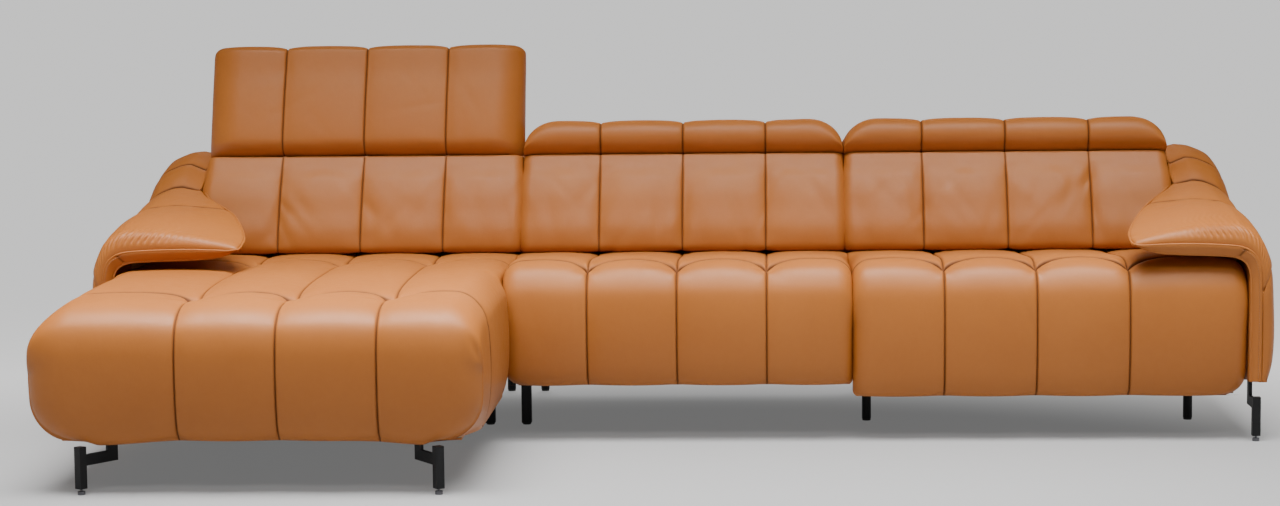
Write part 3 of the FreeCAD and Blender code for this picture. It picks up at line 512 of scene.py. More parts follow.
def buildShortSeat(name, spec):
    # channels over the profile with rounded ends, sunk along the normal by crowns, seams, tufts and folds
    shape = seatShape
    path = spacedPath(seatProfile(spec["bottom"]))
    total = path[1][-1]
    x, k, share, q = channelColumns(spec["edges"], shape["endWidth"])
    last = len(spec["edges"]) - 2
    # the cross seam runs from tuft to tuft in an arc
    crossY = shape["tuftY"] + shape["scallop"] * archedRow(share, k, last, shape["outerScallop"])
    topSide = path[1] > total * 0.35
    crossS = np.interp(crossY, path[0][topSide, 0], path[1][topSide])
    cluster, margin = rowCluster()
    zero = np.zeros_like(x)
    s = np.concatenate([between(zero, crossS - margin, 44), crossS[:, None] + cluster,
                        between(crossS + margin, zero + total, 34)], axis=1)
    flat = onPath(path, s)
    y, z = flat[..., 0], flat[..., 1]
    cy, cz = coreOf(y, z, shape["frontPad"], shape["deck"], spec["bottom"])
    rearward = 1 - .78 * smoothStep((y + .14) / .10)
    y1, z1 = drawnIn(y, z, cy, cz, shape["endWidth"] * rearward * endInset(q)[:, None])
    X = np.repeat(x[:, None], s.shape[1], 1)
    # the lower corners are drawn in
    fromLeft = 1 - smoothStep((x - x[0]) / shape["corner"])[:, None]
    fromRight = 1 - smoothStep((x[-1] - x) / shape["corner"])[:, None]
    ahead = smoothStep((-.44 - y) / .02)
    X = X + (fromLeft * cornerTuck(z1, spec["bottom"], spec["corners"][0])
             - fromRight * cornerTuck(z1, spec["bottom"], spec["corners"][1])) * ahead
    outer = np.stack([X, y1, z1], -1)
    inner = np.stack([np.clip(X, x[0] + shape["innerGap"], x[-1] - shape["innerGap"]), cy, cz], -1)
    d, side = seamField(x, spec["edges"], s.shape[1])
    tuftS = np.interp(shape["tuftY"], path[0][topSide, 0], path[1][topSide])
    dip = seamDip(d, shape["seamDepth"], side) + crownDip(share, q, shape["crown"])
    dip = dip + rowDip(d, s, crossS[:, None], tuftS, shape, swing=2 * x[:, None])
    dip = dip - softFolds(X, s, spec["seed"], shape["folds"], (x[0], x[-1]), (0.1, total), shape["foldHeight"],
                          slant=(0.9, 1.7))
    fade = smoothStep(s / .03) * smoothStep((total - s) / .03) * (1 - q ** 4)[:, None]
    outer = sunk(outer, inner, dip * fade)
    # painted shade along the long seams, and set back behind each cross seam onto its rear slope, where the valley's
    # shadow falls
    shadeMark = np.maximum(seamMark(d), seamMark(s - crossS[:, None] - shape["shade"], 2.8))
    outer, inner, shadeMark = closedEnds(outer, inner, shadeMark)
    piece = slab(name + "Seat", outer, inner, shadeMark, hide)
    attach(piece, "sofa")
    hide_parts(name + "_seat_cushion", name + "_seat_front")


for name, spec in shortSeats.items():
    buildShortSeat(name, spec)
print("short seats made")


# Chaise
chaise = {
    "edges": [-1.4385, -1.132, -.898, -.664, -.4465], "bottom": .118, "frontPad": -1.1397, "deck": .2743,
    "leftSide": -1.474, "rightSide": -.432, "leftInner": -1.4105, "rightInner": -.4755,
    "rows": (-.990, -.205), "scallop": .046, "seamDepth": .0062, "crossDepth": .0092, "tuftDepth": .017,
    "tuftSize": .040, "crown": .0060, "freeEnd": -.506, "freeOver": .024, "pitch": .0095, "bulge": .010,
    "frontCorner": .085, "leftTuck": .048, "rightTuck": .022, "leftFall": .125, "rightFall": .075, "hang": .009,
    "endWidth": .060, "outerScallop": .55, "crossFall": .015, "tuftReach": .06, "pucker": (.0018, .04, .035),
    "swings": ((.020, .30), (.010, .12)), "tuck": .095, "folds": 48, "foldHeight": .0016, "dartDepth": .0034,
    "dart": [(-.466, -1.184, .414), (-.450, -1.185, .385), (-.440, -1.180, .350), (-.434, -1.170, .315)],
}


def chaiseProfile():
    # (y, z) from the lower front edge up, over the front roll and back to the foot of the back
    b = chaise["bottom"]
    return [(-1.1405, b + .0005), (-1.158, b + .001), (-1.176, b + .010), (-1.190, b + .034), (-1.199, b + .075),
            (-1.203, b + .125), (-1.203, b + .175), (-1.198, b + .225), (-1.184, .386), (-1.160, .412),
            (-1.125, .430), (-1.08, .440), (-1.02, .444), (-.94, .447), (-.84, .449), (-.70, .450), (-.55, .449),
            (-.40, .447), (-.25, .444), (-.10, .441), (-.02, .439), (.057, .436)]


def sideShift(y, z, tuck):
    # how far a free side stands out (bulge sin) or is drawn in (rounded lower corner) at a height
    c = chaise
    low = cornerTuck(z, c["bottom"], c["tuck"]) / c["tuck"]
    front = 1 - smoothStep((y + 1.150) / .18)
    out = c["bulge"] * np.sin(math.pi * np.clip((z - c["bottom"]) / .30, 0, 1))
    return out - low * (tuck + (c["frontCorner"] - tuck) * front)


def hang(share, y, z):
    # how far the outer channels sink below the middle ones, close behind the front
    c = chaise
    return c["hang"] * share * (1 - smoothStep((z - c["bottom"]) / .11)) * (1 - smoothStep((y + 1.150) / .12))


def buildChaise():
    # like a short seat, with two rows of tufts and with free sides that come down to the lower edge
    c = chaise
    path = spacedPath(chaiseProfile(), 1500)
    total = path[1][-1]
    pathY = path[0][:, 0]
    topSide = path[1] > .33
    x, k, share, q = channelColumns(c["edges"], c["endWidth"], 12, c["pitch"])
    arc = archedRow(share, k, len(c["edges"]) - 2, c["outerScallop"])
    rowS = [np.interp(rowY + c["scallop"] * arc, pathY[topSide], path[1][topSide]) for rowY in c["rows"]]
    cluster, m = rowCluster()
    zero = np.zeros_like(x)
    s = np.concatenate([between(zero, rowS[0] - m, 66), rowS[0][:, None] + cluster,
                        between(rowS[0] + m, rowS[1] - m, 78), rowS[1][:, None] + cluster,
                        between(rowS[1] + m, zero + total, 24)], axis=1)
    flat = onPath(path, s)
    y, z = flat[..., 0], flat[..., 1]
    X = np.repeat(x[:, None], s.shape[1], 1)
    # seams on the top swing sideways behind each row of tufts: a jump that eases out
    for rowY, (jump, length) in zip(c["rows"], c["swings"]):
        behind = y - rowY
        X = X + jump * smoothStep(behind / .03) * np.exp(-np.clip(behind, 0, None) / length) * \
            smoothStep((x - x[0]) / .25)[:, None] * smoothStep((x[-1] - x) / .2)[:, None]
    # the free sides stand out past the joint lines, up to the arm and the middle seat
    free = smoothStep((c["freeEnd"] - y) / c["freeOver"])
    ql = np.clip((x[0] + c["endWidth"] - x) / c["endWidth"], 0, 1)[:, None]
    qr = np.clip((x - x[-1] + c["endWidth"]) / c["endWidth"], 0, 1)[:, None]
    X = X + free * ((c["leftSide"] - x[0]) * ql ** 1.3 + (c["rightSide"] - x[-1]) * qr ** 1.3)
    cy, cz = coreOf(y, z, c["frontPad"], c["deck"], c["bottom"])
    onTop = smoothStep((s - .30) / .16)
    fall = np.where(ql > 0, c["leftFall"], c["rightFall"])
    rearward = 1 - .70 * smoothStep((y + .14) / .10)
    inset = (.030 * rearward + free * (.040 + onTop * (fall - .070))) * endInset(q)[:, None]
    y1, z1 = drawnIn(y, z, cy, cz, inset, .88)
    wl = 1 - smoothStep((x - x[0]) / .15)[:, None]
    wr = 1 - smoothStep((x[-1] - x) / .15)[:, None]
    innerX = np.clip(X, c["leftInner"], c["rightInner"])
    X = X + free * (wr * sideShift(y1, z1, c["rightTuck"]) - wl * sideShift(y1, z1, c["leftTuck"]))
    fromEnd = np.minimum(x - x[0], x[-1] - x)[:, None]
    z1 = z1 - hang(smoothStep(fromEnd / .10) * (1 - smoothStep((fromEnd - .10) / .22)), y1, z1)
    # side walls: columns that go on from each end to the lower edge, fanned out at the front corner
    drop = np.array([0.05, .12, .20, .29, .38, .48, .58, .68, .78, .86, .93, .98, 1.0])[:, None]

    def wall(column, side, outerX, inner, tuck):
        ya, za = y1[column], z1[column]
        sc = s[column]
        reachS = np.interp(-.95, pathY[topSide], path[1][topSide])
        footY = np.where(sc < reachS, np.interp(sc, [0, .36, reachS], [-1.1405, -1.07, -.95]), y[column])
        floorZ = c["bottom"] + (c["deck"] - c["bottom"]) * smoothStep((footY + .485) / .03)
        wy = ya + (footY - ya) * drop
        wz = za + (floorZ - za) * drop
        away = smoothStep((c["freeEnd"] - wy) / c["freeOver"])
        base = x[column] + away * (outerX - x[column])
        wx = base + side * away * sideShift(wy, wz, tuck)
        wx[-1] = wx[-2]
        iy = np.maximum(wy, c["frontPad"])
        iz = np.clip(np.minimum(wz, c["deck"]), c["bottom"], c["deck"])
        return np.stack([wx, wy, wz], -1), np.stack([np.full_like(wx, inner), iy, iz], -1)

    top = np.stack([X, y1, z1], -1)
    under = np.stack([innerX, cy, cz], -1)
    leftOut, leftIn = wall(0, -1, c["leftSide"], c["leftInner"], c["leftTuck"])
    rightOut, rightIn = wall(-1, 1, c["rightSide"], c["rightInner"], c["rightTuck"])
    outer = np.concatenate([leftOut[::-1], top, rightOut])
    inner = np.concatenate([leftIn[::-1], under, rightIn])
    # the walls have no seams and no crown of their own
    n0 = len(drop)
    pad = ((n0, n0), (0, 0))
    d, side = seamField(x, c["edges"], s.shape[1])
    d, side = np.pad(d, pad, constant_values=1.0), np.pad(side, pad)
    sAll = np.pad(s, pad, mode="edge")
    rowAll = [np.pad(r, n0, mode="edge")[:, None] for r in rowS]
    onWall = np.pad(np.zeros_like(s), pad, constant_values=1.0)
    dip = seamDip(d, c["seamDepth"], side) + np.pad(crownDip(share, q, c["crown"]), pad)
    for rowY, r in zip(c["rows"], rowAll):
        tuftS = np.interp(rowY, pathY[topSide], path[1][topSide])
        dip = dip + rowDip(d, sAll, r, tuftS, c, hold=1 - .6 * onWall)
    dip = dip - softFolds(outer[..., 0], sAll, 8, c["folds"], (-1.45, -.44), (.15, total), c["foldHeight"],
                          slant=(0.9, 1.7))
    # a dart at the front corner beside the joint: depth e^(-(d / width)^2) round a short curve, less a ridge beside it
    dart, _ = spacedPath(c["dart"], 60)
    apart = np.sqrt(((outer[:, :, None, :] - dart[None, None]) ** 2).sum(-1).min(-1))
    dip = dip + c["dartDepth"] * np.exp(-(apart / .007) ** 2) - .0012 * np.exp(-((apart - .016) / .009) ** 2)
    fade = smoothStep(sAll / .03) * smoothStep((total - sAll) / .03)
    fade[0] = 0
    fade[-1] = 0
    outer = sunk(outer, inner, dip * fade)
    # painted shade along the long seams, and on the rear slope behind each row's cross seam, where its valley's shadow
    # falls
    shadeMark = np.maximum.reduce([seamMark(d)] + [seamMark(sAll - r - seatShape["shade"], 2.8) for r in rowAll])
    piece = slab("chaiseSeat", outer, inner, shadeMark, hide, levels=0)
    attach(piece, "sofa")
    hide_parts("chaise_seat_cushion", "chaise_seat_front", "chaise_seat_sides")


buildChaise()
print("chaise made")


# Backs
backs = {"chaise": -.880, "middle": 0.0, "right": .880}
backShape = {
    "half": .4396, "pitch": .2265, "endWidth": .030, "seamDepth": .0070, "crown": .0060, "rear": .1573,
    "pivotY": .151, "pivotZ": .740, "hollow": .0525, "clear": .0512, "belly": .010,
    "folds": 56, "foldHeight": .0024,
}


def profileGrid(path, x, shares):
    # a row at each share of the profile's length over the columns x: X, s and the profile's two coordinates
    s = np.repeat((shares * path[1][-1])[None, :], len(x), 0)
    flat = onPath(path, s)
    return np.repeat(x[:, None], len(shares), 1), s, flat[..., 0], flat[..., 1]


def channelEdges(backX, shape):
    # the seams of four channels and the two ends
    return [backX + v for v in (-shape["half"], -shape["pitch"], 0, shape["pitch"], shape["half"])]


def backProfile():
    # (y, z) from the rear of the foot forward, up the face and into the hollow round the headrest's roll
    b = backShape

    def roll(angle, radius=b["hollow"]):
        return onCircle(angle, radius, b["pivotY"], b["pivotZ"])

    return [(.1565, .4372), (.10, .4365), (.040, .4365), (.012, .4370), (-.002, .444), (-.004, .462), (.006, .500),
            (.030, .550), (.050, .595), (.072, .637), (.092, .666), (.104, .682),
            roll(232), roll(244), roll(257, .0518), roll(270, .0514), (.1565, roll(270, .0514)[1] + .0002)]


def buildBack(name, backX, seed):
    # channels over the back's profile, which end in a hollow round the headrest's roll
    b = backShape
    path = spacedPath(backProfile())
    total = path[1][-1]
    edges = channelEdges(backX, b)
    x, _, share, q = channelColumns(edges, b["endWidth"])
    shares = np.concatenate([np.linspace(0, .40, 20), np.linspace(.41, .80, 44), np.linspace(.805, 1, 20)])
    X, s, y, z = profileGrid(path, x, shares)
    cy = np.full_like(y, b["rear"])
    cz = np.clip(z, .4428, .6872)
    y1, z1 = drawnIn(y, z, cy, cz, b["endWidth"] * endInset(q)[:, None])
    # nothing comes nearer to the headrest's pivot than its roll
    ay, az = y1 - b["pivotY"], z1 - b["pivotZ"]
    clear = np.maximum(1, b["clear"] / np.hypot(ay, az))
    outer = np.stack([X, b["pivotY"] + ay * clear, b["pivotZ"] + az * clear], -1)
    inner = np.stack([X, cy, cz], -1)
    d, side = seamField(x, edges, s.shape[1])
    face = smoothStep((s - .12) / .05) * smoothStep((total - .075 - s) / .05)
    ends = (.35 + .65 * smoothStep((s - .15) / .06)) * (.25 + .75 * smoothStep((total - .07 - s) / .06))
    dip = (seamDip(d, b["seamDepth"], side) + crownDip(share, q, b["crown"])) * ends
    # the face stands out in the middle of its height
    dip = dip - b["belly"] * face * np.sin(math.pi * np.clip((s - .12) / (total - .19), 0, 1))
    folds = softFolds(X, s, seed, b["folds"], (x[0], x[-1]), (.15, total - .08), b["foldHeight"], slant=(0.8, 1.5),
                      size=(.05, .14), width=(.009, .022))
    dip = dip - folds * smoothStep((total - .070 - s) / .04)
    fade = smoothStep(s / .10) * smoothStep((total - s) / .05)
    outer = sunk(outer, inner, dip * fade)
    # painted shade along the seams
    piece = slab(name + "Back", outer, inner, seamMark(d), hide)
    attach(piece, "sofa")
    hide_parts(name + "_back_cushion")


for seed, (name, backX) in enumerate(backs.items()):
    buildBack(name, backX, 20 + seed)
print("backs made")


# Headrests
headShape = {
    "half": .4392, "pitch": .2265, "length": .274, "roll": .050, "endWidth": .092,
    "edge": .018, "seamDepth": .0052, "crown": .0036, "rear": .0487, "cornerDrop": .020, "hold": .0493,
    "taper": .0386, "rearGap": .0003, "folds": 30, "foldHeight": .0014,
}
headAngles = {"chaise": 71.0, "middle": -4.0, "right": -4.0}


def headProfile():
    # (along, across): from the rear below the pivot, round the roll, up the face, over the top edge
    h = headShape
    r = h["roll"]
    top = h["length"]
    half = .033
    ca, cc = top - half, h["rear"] - .0135 - half + .0005
    points = [(0.004, h["rear"])]
    points += [onCircle(a, r - .0010, 0, 0) for a in (100, 118, 137, 157, 178, 200, 220, 240, 258)]
    points += [(.030, -r + .001), (.085, -.0465), (.14, -.0415), (.19, -.035)]
    points += [onCircle(a, half, ca, cc) for a in (-72, -50, -25, 0, 25, 50, 70)]
    points += [(top - half - .012, h["rear"] - .010), (top - half - .03, h["rear"] - .008)]
    return points


def buildHeadrest(name, backX, angle, seed):
    # channels over the headrest's profile, drawn along and across it and then turned by its angle
    h = headShape
    path = spacedPath(headProfile())
    total = path[1][-1]
    edges = channelEdges(backX, h)
    x, _, share, q = channelColumns(edges, h["endWidth"], 16)
    shares = np.concatenate([np.linspace(0, .30, 26), np.linspace(.31, .72, 26), np.linspace(.73, 1, 24)])
    X, s, along, across = profileGrid(path, x, shares)
    rear = h["rear"]
    qq = q[:, None]
    # towards the sides the face falls back to the rear, and the corners of the top edge come down
    shrink = endInset(qq) * (1 - h["edge"] / (rear + h["roll"]))
    backLine = rear - h["taper"] * np.clip(along - .004, 0, 1)
    across1 = backLine - (backLine - across) * (1 - shrink)
    drop = h["cornerDrop"] * endInset(np.clip((qq * h["endWidth"] - (h["endWidth"] - .034)) / .034, 0, 1))
    up = np.clip(along / h["length"], -0.2, 1)
    along1 = along - drop * smoothStep((up - .75) / .25) + drop * .5 * smoothStep((.0 - along) / .05)
    # round the pivot nothing stands out past the roll
    hold = np.where(along1 < .004, np.minimum(1, h["hold"] / np.hypot(along1, across1)), 1)
    along1, across1 = along1 * hold, across1 * hold
    outer = np.stack([X, along1, across1], -1)
    # a rear panel drawn from the outline's two ends
    ruled = [v[:, :1] * (1 - shares) + v[:, -1:] * shares for v in (along1, across1)]
    inner = np.stack([X, ruled[0], ruled[1] + h["rearGap"]], -1)
    d, side = seamField(x, edges, s.shape[1])
    # a raised headrest's seams and folds are quiet near the pivot
    quiet = .25 + .75 * smoothStep((s - .10) / .04) if angle > 45 else 1.0
    dip = seamDip(d, h["seamDepth"], side) * quiet + crownDip(share, q, h["crown"])
    folds = softFolds(X, s, seed, h["folds"], (x[0], x[-1]), (.08, total - .06), h["foldHeight"], slant=(0.1, 1.5),
                      size=(.03, .09), width=(.007, .016))
    dip = dip - folds * quiet
    fade = smoothStep(s / .05) * smoothStep((total - s) / .04)
    outer = sunk(outer, inner, dip * fade)
    ca, sa = math.cos(math.radians(angle)), math.sin(math.radians(angle))

    def place(g):
        # y = pivotY + along cos a + across sin a, z = pivotZ + along sin a - across cos a
        yy = backShape["pivotY"] + g[..., 1] * ca + g[..., 2] * sa
        zz = backShape["pivotZ"] + g[..., 1] * sa - g[..., 2] * ca
        return np.stack([g[..., 0], yy, zz], -1)

    # painted shade along the seams
    piece = slab(name + "Headrest", place(outer), place(inner), seamMark(d), hide)
    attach(piece, name + "_headrest")
    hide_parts(name + "_headrest_cushion")


for seed, (name, backX) in enumerate(backs.items()):
    buildHeadrest(name, backX, headAngles[name], 40 + seed)
print("headrests made")


# Arms
armStations = [
    # behind the seat line, ridge x, ridge height, inner edge x, its height, underside
    (.424, 1.375, .686, 1.326, .678, .452), (.300, 1.375, .702, 1.326, .688, .452),
    (.180, 1.382, .678, 1.326, .655, .452), (.130, 1.386, .654, 1.326, .630, .452),
    (.080, 1.390, .622, 1.325, .606, .452), (.055, 1.392, .616, 1.314, .603, .453),
    (-.030, 1.396, .604, 1.284, .592, .455), (-.150, 1.399, .586, 1.230, .572, .459),
    (-.300, 1.402, .574, 1.180, .548, .466), (-.400, 1.404, .560, 1.150, .522, .467),
    (-.452, 1.404, .548, 1.146, .509, .467),
]
armShape = {
    "side": 1.5015, "foot": .148, "frontY": -.4975, "roundFrom": -.452, "seams": (-.150, .080, .180),
    "sideSeam": .440, "seamShare": .345,
    "seamDepth": .0060, "seamPull": .016, "sidePull": .012, "sideDepth": .0045, "leftReach": .032, "rearEnd": .013,
    "gatherDepth": .0050, "gatherAt": .400, "gatherReach": .135, "gatherBehind": .060, "gatherPitch": .0145,
    "folds": 40, "foldHeight": .0018, "mitreAt": .56, "mitreDepth": .003, "mitreWidth": .012,
    "panelY": -.5010, "panelSlope": .013, "panelCrown": .0045, "panelRear": -.4928,
}
pipingPath = [(1.4660, .150), (1.4665, .26), (1.4665, .38), (1.4640, .430), (1.4540, .466), (1.432, .486),
              (1.400, .4945), (1.34, .4985), (1.27, .5000), (1.21, .4985), (1.175, .4970), (1.152, .4990)]

bandPath = [(1.4405, .150), (1.4405, .26), (1.4400, .38), (1.4385, .420), (1.430, .446), (1.412, .460),
            (1.385, .466), (1.33, .4690), (1.26, .4715), (1.21, .4755), (1.175, .4850), (1.1525, .4975)]


def wing(x, y, sign):
    # the left wing reaches further in than the right one, all of it from 0.22 m ahead of the seat line
    reach = armShape["leftReach"] if sign < 0 else 0
    return x - reach * smoothStep((1.40 - x) / .25) * smoothStep((.03 - y) / .25)


def panelFace(w):
    # y of the front panel a share w below the piping: start + slope w - crown (1 - |2w - 1|^3)
    a = armShape
    return a["panelY"] + a["panelSlope"] * w - a["panelCrown"] * (1 - np.abs(2 * w - 1) ** 3)


def armSection(values, shares):
    # one section of the arm, from the foot of the outer side over the ridge to the inner edge
    y, rx, rz, ex, ez, under = values
    side = armShape["side"]
    hip = max(rz - .100, .436)
    lip = ez - .012 if y < .06 else ez - .012 - (ez - .012 - under) * float(smoothStep((y - .06) / .02))
    points = [(side - .012, armShape["foot"]), (side + .001, armShape["foot"] + .05), (side + .0055, .27),
              (side + .003, .36), (side - .0005, .430), (side - .06 * (hip - .43), hip),
              (rx + .68 * (side - rx), hip + .66 * (rz - hip)), (rx + .30 * (side - rx), hip + .93 * (rz - hip)),
              (rx, rz), (rx + .33 * (ex - rx), rz + .33 * (ez - rz) + .05 * (rx - ex)),
              (rx + .70 * (ex - rx), rz + .70 * (ez - rz) + .045 * (rx - ex)),
              (ex + .010, ez + .006), (ex, ez - .004), (ex + .002, lip)]
    path = spacedPath(points, 500)
    total = path[1][-1]
    upto = int(np.argmax(path[0][:, 1] > armShape["sideSeam"]))
    cut = path[1][upto]
    k = armShape["seamShare"]
    s = np.where(shares < k, shares / k * cut, cut + (shares - k) / (1 - k) * (total - cut))
    return onPath(path, s)


def buildArm(name, sign):
    # sections from the rear to the front, closed on the piping, and the padded front panel
    a = armShape
    even = np.linspace(0, 1, 800)
    dense = np.cumsum(1 + 2.4 * np.exp(-((even - .50) / .16) ** 2))
    shares = np.interp(np.linspace(dense[0], dense[-1], 250), dense, even)
    beside = [a["seamShare"] + v * w for v in (.0013, .0028, .0050, .0080) for w in (-1, 1)] + [a["seamShare"]]
    shares = np.array(sorted(np.concatenate([shares, beside])))
    curve, _ = spacedPath(armStations, 400)
    ys = np.concatenate([[.424, .4235, .422, .4195, .416, .412, .407], np.linspace(.40, .20, 12),
                         np.linspace(.196, .06, 26), np.linspace(.055, -.11, 14), np.linspace(-.12, -.18, 15),
                         np.linspace(-.19, -.452, 40)])
    extra = []
    for seamY in a["seams"]:
        extra += [seamY + v * w for v in sewing["offsets"][1:6] for w in (-1, 1)] + [seamY]
    ys = np.array(sorted(set(np.round(np.concatenate([ys, extra]), 5)), reverse=True))
    order = np.argsort(curve[:, 0])
    rows = [np.interp(ys, curve[order, 0], curve[order, kk]) for kk in range(1, 6)]
    sections = np.array([armSection((ys[i],) + tuple(r[i] for r in rows), shares) for i in range(len(ys))])
    X, Z = sections[..., 0], sections[..., 1]
    Y = np.repeat(ys[:, None], len(shares), 1)
    # the front closes on the piping: P = F + (S - F) cos(a)^0.62, y = start - depth sin a
    pipe = spacedPath(pipingPath, 700)
    F = onPath(pipe, shares * pipe[1][-1])
    turn = np.linspace(0, math.pi / 2, 17)[1:]
    depth = a["roundFrom"] - a["frontY"]
    fx = F[None, :, 0] + (X[-1] - F[:, 0])[None, :] * np.cos(turn)[:, None] ** .62
    fz = F[None, :, 1] + (Z[-1] - F[:, 1])[None, :] * np.cos(turn)[:, None] ** .62
    fy = a["roundFrom"] - depth * np.sin(turn)[:, None] + 0 * fx
    X, Y, Z = np.concatenate([X, fx]), np.concatenate([Y, fy]), np.concatenate([Z, fz])
    outer = np.stack([X, Y, Z], -1)
    edge, height, under = [np.pad(r, (0, len(turn)), mode="edge")[:, None] for r in rows[2:]]
    side = Z < .43
    lip = np.where(Y < .06, height - .013, under)
    innerX = np.where(side, 1.4845, np.clip(X - .02 * smoothStep((X - 1.40) / .05), edge + .003, 1.4845))
    slope = lip + (under - lip) * np.clip((innerX - edge) / (1.44 - edge), 0, 1)
    innerZ = np.where(side, Z, np.minimum(Z - .003, np.maximum(slope, .4305)))
    innerY = np.maximum(Y, -.4915)
    inner = np.stack([innerX, innerY, innerZ], -1)
    v = shares[None, :]
    onTop = smoothStep((v - a["seamShare"]) / .006)
    ds = np.abs(v - a["seamShare"]) * .9 + 0 * X
    dip = a["sideDepth"] * np.exp(-ds / a["sidePull"]) + sewing["groove"] * seamMark(ds)
    # painted shade along the side seam
    shadeMark = seamMark(ds, 1.7)
    for seamY in a["seams"]:
        dd = np.abs(Y - seamY)
        dip += (a["seamDepth"] * np.exp(-dd / a["seamPull"]) + sewing["groove"] * seamMark(dd)) * onTop
        # painted shade just behind each cross seam on top, where its valley's shadow falls
        shadeMark = np.maximum(shadeMark, seamMark(Y - seamY - .0015, 2.0) * onTop)
    # gathers: folds square to the piping, strongest at the corner, gone 0.12 m behind it
    pipeS = np.repeat((shares * pipe[1][-1])[None, :], len(X), 0)
    behind = np.clip(Y - a["frontY"], 0, None)
    window = np.exp(-((pipeS - a["gatherAt"]) / a["gatherReach"]) ** 4) * smoothStep((behind - .0003) / .003)
    window = window * np.exp(-(behind / a["gatherBehind"]) ** 1.6)
    wobble = .005 * np.sin(38 * behind + 5 * pipeS) + .003 * np.sin(90 * behind + 23 * pipeS) - .22 * behind
    wave = .5 + .5 * np.cos(2 * math.pi * (pipeS + wobble) / a["gatherPitch"])
    dip += a["gatherDepth"] * wave * (.7 + .3 * np.sin(31 * pipeS + 1.2)) * window
    dip -= softFolds(Y, X * .8 + Z * .6, 60, a["folds"], (-.42, .42), (1.3, 1.62), a["foldHeight"], slant=(.0, 1.4),
                     size=(.03, .10))
    # the rear end is rounded
    end = np.clip((Y - .410) / .014, 0, 1)
    dip = dip * smoothStep(v / .03) + a["rearEnd"] * endInset(end) * (Y > .40)
    dip[-1] = 0
    outer = sunk(outer, inner, dip)
    outer[..., 0] = sign * wing(outer[..., 0], outer[..., 1], sign)
    inner[..., 0] = sign * wing(inner[..., 0], inner[..., 1], sign)
    piece = slab(name + "Arm", outer, inner, shadeMark, hide, levels=0)
    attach(piece, "sofa")
    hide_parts(name + "_arm_pad", name + "_arm_side")

    # front panel: ruled between the piping and the band's lower edge
    lower = spacedPath(bandPath, 700)
    t = np.linspace(0, 1, 130)
    A = onPath(pipe, t * pipe[1][-1])
    B = onPath(lower, t * lower[1][-1])
    w = np.array([0, .03, .08, .16, .28, .42, .58, .72, .84, .92, .97, 1.0])[:, None]
    px = A[None, :, 0] + (B - A)[None, :, 0] * w
    pz = A[None, :, 1] + (B - A)[None, :, 1] * w
    mitre = np.abs(t - a["mitreAt"])[None, :] + 0 * px
    py = panelFace(w) + a["mitreDepth"] * np.exp(-(mitre / a["mitreWidth"]) ** 2)
    px = sign * wing(px, -.4975, sign)
    front = np.stack([px, py, pz], -1)
    back = np.stack([px, np.full_like(px, a["panelRear"]), pz], -1)
    # painted shade along the mitre seam
    panel = slab(name + "ArmFront", front, back, np.exp(-(mitre / .004) ** 2), hide)
    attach(panel, "sofa")
    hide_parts(name + "_arm_front_panel")


def buildLining(name, sign):
    # leather on the arm's inner face, where it shows between the seat and the front band
    y, z = np.meshgrid(np.linspace(-.4905, -.30, 24), np.linspace(.1505, .4640, 36), indexing="ij")
    x = 1.4389 + .0004 * np.sin(math.pi * (z - .15) / .32)
    outer = np.stack([x * sign, y, z], -1)
    inner = np.stack([np.full_like(x, 1.4398) * sign, y, z], -1)
    piece = slab(name + "ArmLining", outer, inner, np.zeros_like(z), hide, levels=0)
    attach(piece, "sofa")


for name, sign in (("left", -1), ("right", 1)):
    buildArm(name, sign)
    buildLining(name, sign)
print("arms made")


# Piping and stitches
piping = {"radius": .0027, "sides": 8, "frontY": -.4995}


def tube(name, points, material):
    # a round cord of piping: P(t) + r (N cos a + B sin a), with closed ends
    radius, sides = piping["radius"], piping["sides"]
    p = np.array(points, float)
    p[:, 1] += lineY
    t = np.gradient(p, axis=0)
    t /= np.linalg.norm(t, axis=1, keepdims=True)
    ref = np.where(np.abs(t[:, 1:2]) < .9, np.array([[0, 1.0, 0]]), np.array([[0, 0, 1.0]]))
    n = np.cross(t, ref)
    n /= np.linalg.norm(n, axis=1, keepdims=True)
    b = np.cross(t, n)
    a = np.linspace(0, 2 * math.pi, sides, endpoint=False)
    ring = p[:, None] + radius * (n[:, None] * np.cos(a)[None, :, None] + b[:, None] * np.sin(a)[None, :, None])
    m = len(p)
    verts = np.concatenate([ring.reshape(-1, 3), p[:1], p[-1:]])
    i = np.arange(m - 1)[:, None] * sides
    j = np.arange(sides)[None, :]
    k = (j + 1) % sides
    faces = np.stack([i + j, i + k, i + sides + k, i + sides + j], -1).reshape(-1, 4).tolist()
    last = (m - 1) * sides
    faces += [[c, (c + 1) % sides, m * sides] for c in range(sides)]
    faces += [[last + c, m * sides + 1, last + (c + 1) % sides] for c in range(sides)]
    return meshPiece(name, verts, faces, material)


def buildPiping(name, sign):
    # up the front edge, over the wing's tip and back along the wing's inner edge
    pipe = spacedPath(pipingPath, 700)
    front = onPath(pipe, np.linspace(0, pipe[1][-1], 120))
    path = [(x * sign, piping["frontY"], z) for x, z in front]
    edge = [(s[3] - .0005, s[0], s[4] - .001) for s in armStations if -.46 < s[0] < .06][::-1]
    smooth, _ = spacedPath([(1.152, -.4975, .4990), (1.1465, -.485, .501)] + edge, 160)
    path += [(x * sign, y, z) for x, y, z in smooth[3:]]
    path = [(sign * float(wing(abs(x), y, sign)), y, z) for x, y, z in path]
    piece = tube(name + "Piping", path, hide)
    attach(piece, "sofa")


thread = {"pitch": .0068, "length": .0046, "radius": .00075, "across": .20, "upTo": .57, "sides": 6, "proud": .0003}


